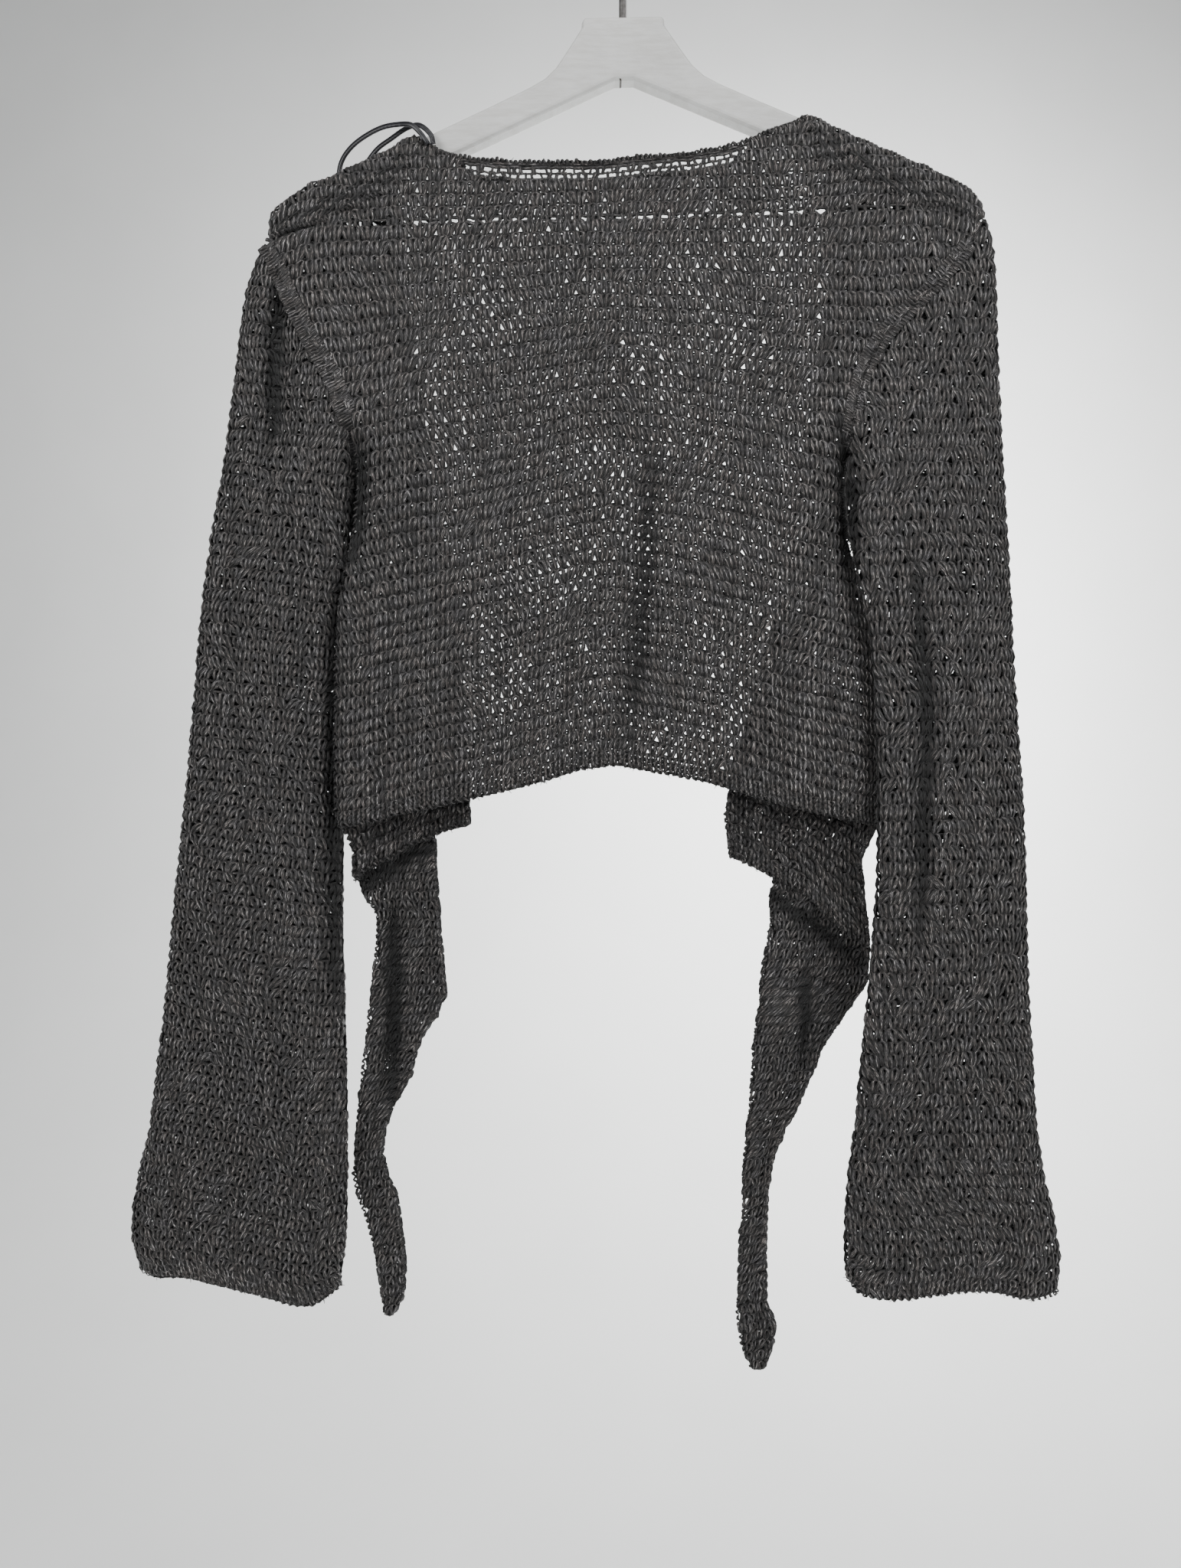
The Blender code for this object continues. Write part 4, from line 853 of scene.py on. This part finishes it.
def yarn_mesh(name, strands, two_faces):
    """Yarn along every strand, as one closed mesh that knows how the yarn lies."""
    strands = [strand for strand in (distinct(given) for given in strands)
               if len(strand[0]) > 1]
    mesh = tubes(name, [points for points, *_ in strands])
    ring = np.arange(SIDES) * 2 * math.pi / SIDES
    # Cloth with two faces gets no painted shade on its inner side.
    facing = np.abs(np.sin(ring)) if two_faces else np.sin(ring)
    placed, lay, depths = [], [], []
    for number, (points, out, width, depth) in enumerate(strands):
        along = unit(np.gradient(points, axis=0))
        across = unit(np.cross(along, out))
        up = np.cross(across, along)
        thick = np.maximum(width * YARN_FLATNESS, np.minimum(width, THINNEST))
        placed.append(points[:, None]
                      + across[:, None] * (width[:, None] * np.cos(ring))[..., None]
                      + up[:, None] * (thick[:, None] * np.sin(ring))[..., None])
        run = (run_along(points) + number * STRAND_SHIFT)[:, None]
        lay.append(np.stack(np.broadcast_arrays(np.cos(ring), facing, run), axis=2))
        depths.append(np.repeat(depth, SIDES))
    mesh.vertices.foreach_set("co", (np.concatenate(placed) * MM).astype(np.float32).ravel())
    for title, kind, field, values in (("yarn_lay", "FLOAT_VECTOR", "vector", lay),
                                       ("yarn_depth", "FLOAT", "value", depths)):
        attribute = mesh.attributes.new(title, kind, "POINT")
        attribute.data.foreach_set(field, np.concatenate(values).astype(np.float32).ravel())
    closed = bmesh.new()
    closed.from_mesh(mesh)
    bmesh.ops.holes_fill(closed, edges=[edge for edge in closed.edges if edge.is_boundary],
                         sides=SIDES)
    bmesh.ops.recalc_face_normals(closed, faces=list(closed.faces))
    closed.to_mesh(mesh)
    closed.free()
    mesh.shade_smooth()
    return mesh


def knit_piece(node, courses, edging, folded=(), two_faces=False,
               name=None):
    """A piece folded in two has its other half too."""
    for ending, strands in (("_knit", courses), ("_edging", edging), ("_folded_half", folded)):
        if not strands:
            continue
        part = (name or node) + ending
        piece = place_mesh(part, yarn_mesh(part, strands, two_faces), yarn_finish)
        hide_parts(node)
        triangles = sum(len(face.vertices) - 2 for face in piece.data.polygons)
        print(part, len(strands), "strands", triangles, "triangles")


print("yarn has", SIDES, "sides")

# %% [markdown]
# ## Courses of a piece
# Courses are spread evenly down a piece. Their lines start level at the top and take on the
# shape of the hem lower down, because that is how the weight of the cloth pulls them.

# %% Courses of a piece
HEM_POINTS = 60
HEM_ROOM = 0.6


def even_courses(start, end, pitch_at, band=0.0, band_courses=0):
    """Middles and heights of courses down a piece, the last few close together in a band."""
    edges = [start]
    while edges[-1] < end - band:
        edges.append(edges[-1] + pitch_at((edges[-1] - start) / (end - start)))
    fit = (end - band - start) / (edges[-1] - start)
    edges = [start + (edge - start) * fit for edge in edges]
    courses = [((top + foot) / 2, foot - top) for top, foot in zip(edges, edges[1:])]
    for i in range(band_courses):
        courses.append((end - band * (1 - (i + 0.5) / band_courses), band / band_courses * 1.5))
    return courses


def course_lines(top, bottom, bow, length):
    """Heights of a piece's course lines: level at its top, and shaped as its hem lower down.
    bow says how much of the hem's shape is in a line."""
    def line(down):
        share = down / length
        arch = bow(share)
        return lambda x: top(x) + (bottom(x, False) - top(x)) * share + (
            bottom(x, True) - bottom(x, False)) * arch
    return line


def hem_shape(tree, side, x_from, x_to, z_from, z_to):
    """A hem's own height at x, or that of the straight line nearest to it."""
    xs = np.linspace(x_from, x_to, HEM_POINTS)
    heights = outline(tree, side, xs, z_from, z_to)
    slope, start = np.polyfit(xs, heights, 1)

    def bottom(x, shaped):
        return float(np.interp(x, xs, heights)) if shaped else start + slope * x
    return bottom


def one_layer_map(tree, side, box, line, length, anchor_x, first=0.8, folds=()):
    """The flat map of a piece with one layer, counted from an upright line at the anchor."""
    low, high = box
    downs = np.arange(first, length - 0.5, MAP_STEP)
    lines = []
    for down in downs:
        points = cross_wall(tree, side, low.x - 1, high.x + 1, line(down))
        lines.append(None if points is None else measured(points, anchor_x))
    return FlatMap(lines, downs[0], folds)


print("hems are read at", HEM_POINTS, "places")

# %% [markdown]
# ## The back
# The back hangs from the pierced seam under the yoke to its arched hem, with its armholes cut
# away at both sides. Its courses start straight at the seam and bow up towards the middle, as
# the hem does. The last centimetre is a denser border, overcast along the hem. Along the seam
# the stitches leave a row of small holes, and a few more go round the left shoulder tip.

# %% The back
BACK_WALE = 5.8
BACK_LOOK = stitch_look(BACK_WALE, 1.07, uneven=0.5, ragged=0.8, height=0.565)
GARMENT_MIDDLE = -6.0
SHOULDER_HOLES = [(-192.0, -171.0), (-195.4, -173.6), (-198.6, -176.3), (-201.6, -179.2),
                  (-204.6, -182.4), (-207.2, -185.8), (-209.6, -189.4), (-211.6, -193.2)]
SEAM_FROM, SEAM_TO = -178, 176
back_tree = solid_tree("back_panel")
back_box = back_low, back_high = box_of("back_panel")
top_xs = np.linspace(back_low.x + 6, back_high.x - 6, 80)
back_top = outline(back_tree, BEHIND, top_xs, back_high.z + 2, back_high.z - 40)
back_hem = hem_shape(back_tree, BEHIND, -174, 158, back_low.z - 2, back_low.z + 90)


def seam_height(x):
    """Height of the pierced seam at x."""
    return float(np.interp(x, top_xs, back_top))


def back_pitch(share):
    """How tall a course is, with how far down the back it lies."""
    return 8.5 if share < 0.65 else 7.5


back_length = seam_height(GARMENT_MIDDLE) - back_hem(GARMENT_MIDDLE, True)
hole_xs = np.cumsum(draw.uniform(5.0, 13.0, 62)) + SEAM_FROM
for x in hole_xs[hole_xs < SEAM_TO]:
    HOLES.append((x, seam_height(x) + draw.normal(0, 0.9), draw.uniform(0.2, 1.1)))
SEAM_HOLES = list(HOLES)
HOLES += [(x, z, 0.8) for x, z in SHOULDER_HOLES]
back_lines = course_lines(seam_height, back_hem, lambda share: 1 - (1 - share) ** 2.6,
                          back_length)
back_map = one_layer_map(back_tree, BEHIND, back_box, back_lines, back_length, GARMENT_MIDDLE,
                         folds=FOLDS["left"] + FOLDS["right"] + FOLDS["middle"])
strands, fine = [], []
for course in even_courses(1.0, back_length - HEM_ROOM, back_pitch, band=11.0, band_courses=4):
    strands += course_strands(back_map, course, BACK_LOOK)
    fine += fine_strands(back_map, course, BACK_WALE)
hem_places = back_map.across(back_length)
edging = edge_yarn(back_map, hem_places, back_length - 1.0)
edging += stray_fibres(back_map, hem_places, back_length, count=160) + fine
knit_piece("back_panel", strands, edging, name="back")

# %% [markdown]
# ## The yoke's flat map
# The yoke is the strip above the pierced seam. It goes up the back to the neck edge and, over
# both shoulders, across the top of the hanger and a little down the front. So its flat map is
# measured the other way: upright lines over the hanger, counted up from the seam.

# %% The yoke's flat map
CREST_HALF = 9.5
CREST_REACH = 60
YOKE_STEP = 0.8
yoke_tree = solid_tree("back_yoke")
yoke_low, yoke_high = box_of("back_yoke")


def over_shoulder(x):
    """Middle of the yoke's wall on an upright line, from the seam up and over the hanger."""
    crest = touch(yoke_tree, (x, 0, FAR_OUT), (0, 0, -1))
    turn_z = yoke_high.z + 1 if crest is None else crest[2] - CREST_HALF
    rays = [((x, -FAR_OUT, z), (0, 1, 0)) for z in np.arange(yoke_low.z, turn_z, YOKE_STEP)]
    if crest is not None:
        for turn in np.radians(np.arange(0, 181, 4)):
            away = np.array([0, -math.cos(turn), math.sin(turn)])
            rays.append((np.array([x, 0, turn_z]) + away * CREST_REACH, -away))
        rays += [((x, FAR_OUT, z), (0, -1, 0))
                 for z in np.arange(turn_z, turn_z - 20, -YOKE_STEP)]
    points = []
    for origin, direction in rays:
        point = touch(yoke_tree, origin, direction)
        if point is not None:
            points.append(point)
        elif len(points) > 3:
            break
    if len(points) < 4:
        return None
    points = np.array(points)
    run = run_along(points)
    keep = np.concatenate([[True], np.diff(run) > 0.05])
    return run[keep], points[keep]


yoke_xs = np.arange(yoke_low.x + 1.2, yoke_high.x - 1.0, MAP_STEP)
yoke_map = FlatMap([over_shoulder(x) for x in yoke_xs], yoke_xs[0])
edge_up = np.convolve(np.pad(yoke_map.high, 1, mode="edge"), [0.25, 0.5, 0.25], "valid")
print("the yoke is", round(float(edge_up.max())), "mm long at most")

# %% [markdown]
# ## The yoke
# Its courses run level above the seam. Under the neck edge two rows of stitches are left open,
# as a ladder of upright threads between three plain ones, so the courses stop below them there.
# The neck edge itself is bound. Short threads cross the pierced seam between the holes and join
# the yoke to the back.

# %% The yoke
LADDER_FROM, LADDER_TO = -100.0, 74.0
LADDER_LINES, LADDER_WIDTHS = (4.4, 8.1, 11.8), (1.2, 0.7, 1.2)
LADDER_WANDER, LADDER_SHIFT, UNDER_EDGE = 0.35, 2.6, 2.4
YOKE_PITCH = 7.9
BOUND_EDGE = (1.4, 2.9, 0.9)
lowered = np.interp(yoke_xs, [LADDER_FROM - 4, LADDER_FROM + 5, LADDER_TO - 5, LADDER_TO + 4],
                    [0, 1, 1, 0])
yoke_map.high = edge_up - LADDER_LINES[-1] * lowered
middle_up = float(np.interp(GARMENT_MIDDLE, yoke_xs, yoke_map.high))
yoke_pitch = middle_up / round(middle_up / YOKE_PITCH)
strands, fine = [], []
for up in np.arange(yoke_pitch / 2 - 0.2, edge_up.max() - 2, yoke_pitch):
    strands += course_strands(TurnedMap(yoke_map), (up, yoke_pitch), BACK_LOOK)
    fine += fine_strands(TurnedMap(yoke_map), (up, yoke_pitch), BACK_WALE)
yoke_map.high = edge_up
edging = fine + edge_yarn(yoke_map, edge_up - 0.6, yoke_xs, *BOUND_EDGE)
ladder_xs = np.arange(LADDER_FROM - 2, LADDER_TO + 4, 1.5)
ladder_edge = np.interp(ladder_xs, yoke_xs, edge_up)
edging += plain_yarn(yoke_map, ladder_edge - UNDER_EDGE, ladder_xs, width=1.3)
for line, width in zip(LADDER_LINES, LADDER_WIDTHS):
    wavering = ladder_edge - line + draw.normal(0, LADDER_WANDER, len(ladder_xs))
    edging += plain_yarn(yoke_map, wavering, ladder_xs, width)
for row, (over, under) in enumerate(zip(LADDER_LINES, LADDER_LINES[1:])):
    for x in np.arange(LADDER_FROM + row * LADDER_SHIFT, LADDER_TO, BACK_WALE * 0.8):
        near = x + draw.normal(0, 0.7)
        edge = float(np.interp(near, yoke_xs, edge_up))
        ends, _, _ = yoke_map.at(edge - np.array([over, under]), near + draw.normal(0, 0.8, 2))
        edging += rungs(ends[:1], ends[1:], width=draw.uniform(0.7, 1.6))
edging += plain_yarn(yoke_map, 0.5, yoke_xs, width=0.7)
seam_xs = np.arange(yoke_xs[0] + 2, yoke_xs[-1] - 2, BACK_WALE / 2)
below, _, _ = back_map.at(seam_xs + draw.normal(0, 0.5, len(seam_xs)) - GARMENT_MIDDLE, 1.4)
above, _, _ = yoke_map.at(0.9, seam_xs + draw.normal(0, 0.5, len(seam_xs)))
kept = np.array([min(abs(x - hole[0]) - hole[2] for hole in HOLES) > 0.9 for x in seam_xs])
proud = [0, 0.3, 0]
edging += rungs(below[kept] - proud, above[kept] - proud, width=1.2, depth=0.0)
edging += stray_fibres(yoke_map, edge_up, yoke_xs, count=140)
HOLES.clear()
knit_piece("back_yoke", strands, edging, name="yoke")

# %% [markdown]
# ## The fronts
# The two fronts hang open from the shoulders, behind the back as it is seen here, and their
# lower corners show below its hem. Each is one layer, with level courses that turn with its
# slanted hem lower down. The lowest ten centimetres are folded up and lie against it, as a
# second layer. The open edges and hems are overcast. Light comes through the holes of the
# back's seam, so a front's stitches are pushed aside where the camera looks through a hole.

# %% The fronts
FRONT_LOOK = stitch_look(5.8, 0.98)
FLAP_BACK_LOOK = stitch_look(5.5, 1.3, ragged=1.5)
FLAP_DEPTH = 100.0
FRONT_PITCH = 7.1
# The folded half lies apart from the seen one, and its yarn gets painted shade.
LAYERS_APART, UNDER_LAYER_PAINTED_SHADE = 1.7, 1.3
SEAM_Y, SEEN_WIDER = -12.0, 0.5
FRONTS = {
    "left_front": {"hem": (-171.0, -100.0), "anchor": -135.0},
    "right_front": {"hem": (69.5, 156.5), "anchor": 112.0},
}


def under_layer(cloth, courses, look):
    """The half of a piece that is folded over and lies against the one that is seen, with painted
    shade, as between the layers.
    """
    return [(points + [0, LAYERS_APART, 0], out, width, depth - UNDER_LAYER_PAINTED_SHADE)
            for course in courses
            for points, out, width, depth in course_strands(cloth, course, look)]


def seen_past(hole, tree):
    """Where the camera's line through a hole of the seam meets a piece behind it, or None."""
    x, z, radius = hole
    start = np.array([x, SEAM_Y, z])
    found = touch(tree, start, start - np.array(camera.location) / MM)
    return None if found is None else (found[0], found[2], radius + SEEN_WIDER)


def front_lines(top_z, hem, length):
    """Heights of a front's course lines: level at its top, and slanted as its hem lower down."""
    return lambda down: lambda x: top_z - down + (
        hem(x, True) - (top_z - length)) * (down / length) ** 3


for node, facts in FRONTS.items():
    tree = solid_tree(node)
    HOLES[:] = [behind for behind in (seen_past(hole, tree) for hole in SEAM_HOLES) if behind]
    print(node, len(HOLES), "of the seam's holes go through it")
    low, high = box_of(node)
    hem = hem_shape(tree, IN_FRONT, *facts["hem"], low.z - 2, low.z + 90)
    length = high.z - hem(facts["anchor"], True)
    cloth = one_layer_map(tree, IN_FRONT, (low, high), front_lines(high.z, hem, length), length,
                          facts["anchor"], first=3.0)
    strands = []
    for course in even_courses(3.0, length - HEM_ROOM, lambda share: FRONT_PITCH, band=10.0,
                               band_courses=3):
        strands += course_strands(cloth, course, FRONT_LOOK)
    flap = even_courses(length - FLAP_DEPTH, length - 1.0, lambda share: FRONT_PITCH)
    folded = under_layer(cloth, flap, FLAP_BACK_LOOK)
    edging = side_edges(cloth, cloth.downs())
    edging += edge_yarn(cloth, cloth.across(length), length)
    edging += stray_fibres(cloth, cloth.across(length), length, count=50)
    knit_piece(node, strands, edging, folded=folded, two_faces=True)

HOLES.clear()

# %% [markdown]
# ## Sewing at the armholes
# A sleeve's edge lies close behind the back's, and short lengths of yarn sew the two together.
# Above, the seam turns to the viewer: there the stitches lie on top and slant, as sewing does.
# Lower down it turns away, and its yarn, which fills the gap there, is given painted shade for the
# shade under the arm.

# %% Sewing at the armholes
ARMHOLE = (-212.0, -480.0, -1.7)
SEWN_FADE, SEAM_SHADE_FADE = (-345, -325), (-350, -328)
# Painted shade: the seam's yarn is darkened low under the arm, and not above.
SEAM_PAINTED_SHADE_DEPTHS = (-3.0, 0.2)
WIDEST_GAP, OVERLAP, SEWN_OVERLAP = 10.0, 2.0, 10.0
INSET, SEWN_PROUD, SEWN_SLANT, SEWN_SINK = 0.6, 2.0, 2.2, 0.5


def sew_armhole(cloth, outer):
    """Short lengths of yarn between a sleeve's edge and the back's."""
    body_edge, _, _ = back_map.at(FAR_SIDE * outer, back_map.downs())
    sleeve_edge, _, _ = cloth.at(-FAR_SIDE, cloth.downs())
    heights = np.arange(*ARMHOLE)
    body, sleeve = (points_at(heights, side[::-1, 2], side[::-1])
                    for side in (body_edge, sleeve_edge))
    gap = (sleeve[:, 0] - body[:, 0]) * outer
    sewn = np.interp(heights, SEWN_FADE, [0, 1])
    joined = (gap > -OVERLAP - SEWN_OVERLAP * sewn) & (gap < WIDEST_GAP)
    sleeve[:, 0] = np.where(gap < 0, body[:, 0], sleeve[:, 0])
    sleeve[sewn > 0, 1] = np.minimum(sleeve[:, 1], body[:, 1] + SEWN_SINK)[sewn > 0]
    inset = np.array([0, INSET, 0]) - sewn[joined, None] * [0, SEWN_PROUD, 0]
    cross = sewn[joined, None] * [SEWN_SLANT * outer, 0, -SEWN_SLANT]
    depth = np.interp(heights, SEAM_SHADE_FADE, SEAM_PAINTED_SHADE_DEPTHS)[joined]
    print("armhole gap", round(float(gap[joined].max()), 1), "mm at most,", joined.sum(), "rungs")
    return rungs(body[joined] + inset - cross, sleeve[joined] + inset + cross, width=1.3,
                 sag=1.0, depth=depth)


print("armholes are sewn from", ARMHOLE[0], "to", ARMHOLE[1], "mm")

# %% [markdown]
# ## The sleeves
# A sleeve is a tube pressed flat by its own hang. Its course line is followed across the layer
# that is seen from behind and across the one in front, and the two are joined at the outer fold,
# where the counting starts. So the stitches run round the tube with their uprights along that
# fold, and end at the seam under the arm. The upper arm is pulled long, with narrow tall
# stitches, and the cuff is wide and short. Dark yarn laid across the holes inside the tube, with
# painted shade, stands for the shade in there and keeps light from shining through its holes, as
# the far layer does. That layer needs fewer points to a stitch.

# %% The sleeves
SLEEVES = {
    "left": {"tip": (-224.0, -206.2), "slope": -0.07, "cuff": (-305.0, -180.0), "outer": -1,
             "wale": (4.9, 5.5), "pitch": (7.6, 6.5), "points": (EIGHTHS[1:], (1, 3, 4, 5, 7))},
    "right": {"tip": (226.0, -190.3), "slope": 0.04, "cuff": (142.0, 271.0), "outer": 1,
              "wale": (5.2, 5.9), "pitch": (9.3, 8.2), "points": (EIGHTHS, (1, 2, 3, 5, 6, 7))},
}
CAP_LENGTH = 150
CAP_EDGE = (1.2, 4.2, 0.8)
INSIDE_LEVELS, INSIDE_STEP, INSIDE_END = (-0.3, 0.3), 10.0, -2.0
INSIDE_WIDTH, INSIDE_BEHIND, INSIDE_SHADE_DEPTH = 1.6, 2.3, -2.6


def dark_inside_strands(cloth, course):
    """Dark yarn across a course's holes inside the sleeve, with painted shade: it stands for the
    shade in the tube.
    """
    down, pitch = course
    low, _ = cloth.span(down)
    along = np.append(np.arange(low + 0.5, INSIDE_END - 1, INSIDE_STEP), INSIDE_END)
    strands = []
    for level in INSIDE_LEVELS if len(along) > 3 else ():
        across = down + level * pitch + draw.normal(0, 0.4, len(along))
        points, normals, _ = cloth.at(along, across)
        strands.append((points - normals * INSIDE_BEHIND, normals, INSIDE_WIDTH, INSIDE_SHADE_DEPTH))
    return strands


def sleeve_map(node, facts, folds):
    """A sleeve's flat map, counted from its outer fold, and its length."""
    tree = solid_tree(node)
    low, high = box_of(node)
    cuff = hem_shape(tree, BEHIND, *facts["cuff"], low.z - 2, low.z + 60)
    tip_x, tip_z = facts["tip"]
    top = lambda x: tip_z + facts["slope"] * (x - tip_x)
    middle_x = sum(facts["cuff"]) / 2
    length = top(middle_x) - cuff(middle_x, False)
    line = course_lines(top, cuff, lambda share: share ** 7, length)
    edges = (low.x - 1, high.x + 1)[::-facts["outer"]]
    downs = np.arange(1.0, length - 0.5, MAP_STEP)
    lines = []
    for down in downs:
        behind, ahead = (cross_wall(tree, side, *edges, line(down)) for side in (BEHIND, IN_FRONT))
        if behind is None or ahead is None:
            lines.append(None)
            continue
        run, points = measured(np.concatenate([behind[::-1], ahead]))
        back_run = np.linalg.norm(np.diff(behind[:, :2], axis=0), axis=1).sum()
        lines.append((run - run[0] - back_run, points))
    return FlatMap(lines, downs[0], folds), length


for name, facts in SLEEVES.items():
    cloth, length = sleeve_map(name + "_sleeve", facts, FOLDS[name])
    (near, far), (upper, lower) = facts["wale"], facts["pitch"]
    look = stitch_look(lambda b: near + (far - near) * np.clip(b / length, 0, 1), uneven=0.8,
                       ragged=1.3, height=0.645, points=facts["points"])
    strands, inside = [], []
    for course in even_courses(0.5, length - HEM_ROOM, band=10.0, band_courses=3,
                               pitch_at=lambda share: upper + (lower - upper) * share):
        strands += course_strands(cloth, course, look)
        inside += dark_inside_strands(cloth, course)
    downs = cloth.downs()
    edging = side_edges(cloth, downs[downs < CAP_LENGTH], *CAP_EDGE)
    edging += plain_yarn(cloth, -FAR_SIDE, downs[downs >= CAP_LENGTH], width=0.8)
    edging += edge_yarn(cloth, cloth.across(length), length)
    edging += stray_fibres(cloth, cloth.across(length), length, count=120) + inside
    edging += sew_armhole(cloth, facts["outer"])
    knit_piece(name + "_sleeve", strands, edging)

# %% [markdown]
# ## The ties
# Each front runs out into a long tapered tie, folded along its length, so it has a second layer
# too. The ties are knitted finer and have been pulled and twisted by tying, so all their
# stitches lean one way, like the turns of a cord.

# %% The ties
TIE_LOOK = stitch_look(4.8, 0.82, 0.35, height=0.6)
TIE_BACK_LOOK = stitch_look(5.1, 1.3, 0.35)
TIE_EDGE = (1.0, 4.0, 0.75)
TIE_PITCH = 6.2
for name in ("left", "right"):
    node = name + "_tie"
    low, high = box_of(node)
    length = high.z - low.z
    cloth = one_layer_map(solid_tree(node), BEHIND, (low, high),
                          lambda down: lambda x: high.z - down, length, None, 1.2, FOLDS[node])
    strands = []
    for course in even_courses(0.5, length - 1.0, lambda share: TIE_PITCH):
        strands += course_strands(cloth, course, TIE_LOOK)
    folded = under_layer(cloth, even_courses(3.6, length - 1.0, lambda share: TIE_PITCH),
                         TIE_BACK_LOOK)
    edging = side_edges(cloth, cloth.downs(), *TIE_EDGE)
    knit_piece(node, strands, edging, folded, two_faces=True)

# %% [markdown]
# ## Backdrop
# A pale paper sweep stands well behind, so that the garment can be seen from every side. It is
# one line extruded sideways, curved up from the floor as hung paper is.

# %% Backdrop
SWEEP = [(-5000, -1750), (-1500, -1750), (300, -1750), (1200, -1600), (1900, -1150),
         (2350, -450), (2500, 400), (2500, 1500), (2500, 3500)]
SWEEP_WIDTH = 12.0
SWEEP_STEP = 120.0
paper, add, shader = new_material("matt_white_background_paper")
place = add("TexCoord")
pulp = add("TexNoise", {"Vector": (place, "Object")}, {"Scale": 3.0, "Detail": 3.0})
colour = add("ValToRGB", {"Fac": pulp}, stops=[(0.3, "#E6E7E6"), (0.7, "#EBECEB")])
set_inputs(shader, {"Base Color": colour}, {"Roughness": 0.9})
sweep_line, _ = smooth_line([(0.0, y, z) for y, z in SWEEP], SWEEP_STEP)
sweep = bmesh.new()
verts = [sweep.verts.new((-SWEEP_WIDTH / 2, y * MM, z * MM)) for _, y, z in sweep_line]
line_edges = [sweep.edges.new(pair) for pair in zip(verts, verts[1:])]
grown = bmesh.ops.extrude_edge_only(sweep, edges=line_edges)["geom"]
bmesh.ops.translate(sweep, vec=(SWEEP_WIDTH, 0, 0),
                    verts=[part for part in grown if isinstance(part, bmesh.types.BMVert)])
sweep_mesh = take_mesh("paper_sweep", sweep)
coat(sweep_mesh, paper)
backdrop = bpy.data.objects.new("paper_sweep", sweep_mesh)
bpy.context.scene.collection.objects.link(backdrop)
print("the sweep is", SWEEP_WIDTH, "m wide")

# %% [markdown]
# ## Light
# The photograph's light comes from the left and from in front, soft and wide, as from a window.
# Weaker lamps stand for what the room throws back, and one lights the paper behind. Each is
# given by its place, what it is aimed at, its size in metres and its power in watts.

# %% Lights
LIGHTS = {
    "window": ((-1.5, -1.7, 0.3), (0.0, 0.0, -0.5), 1.2, 31.0),
    "room": ((1.5, -1.5, 0.1), (0.1, 0.0, -0.6), 1.4, 22.0),
    "ceiling": ((0.4, -0.9, 1.6), (0.0, 0.0, -0.4), 1.6, 16.0),
    "wall_glow": ((0.7, 1.0, 0.25), (0.45, 2.5, -0.35), 0.8, 108.0),
    "room_behind": ((1.2, 1.9, 0.9), (0.0, 0.0, -0.5), 1.2, 14.0),
}
for name, (place, aim, size, power) in LIGHTS.items():
    lamp = bpy.data.lights.new(name, "AREA")
    lamp.energy = power
    lamp.size = size
    holder = bpy.data.objects.new(name, lamp)
    holder.location = place
    holder.rotation_euler = (Vector(aim) - Vector(place)).to_track_quat("-Z", "Y").to_euler()
    holder.visible_camera = False
    bpy.context.scene.collection.objects.link(holder)
studio = bpy.data.worlds.new("studio")
studio.use_nodes = True
set_inputs(studio.node_tree.nodes["Background"],
           values={"Color": linear("#EEF0F2"), "Strength": 0.18})
bpy.context.scene.world = studio
print("lit by", sorted(LIGHTS))
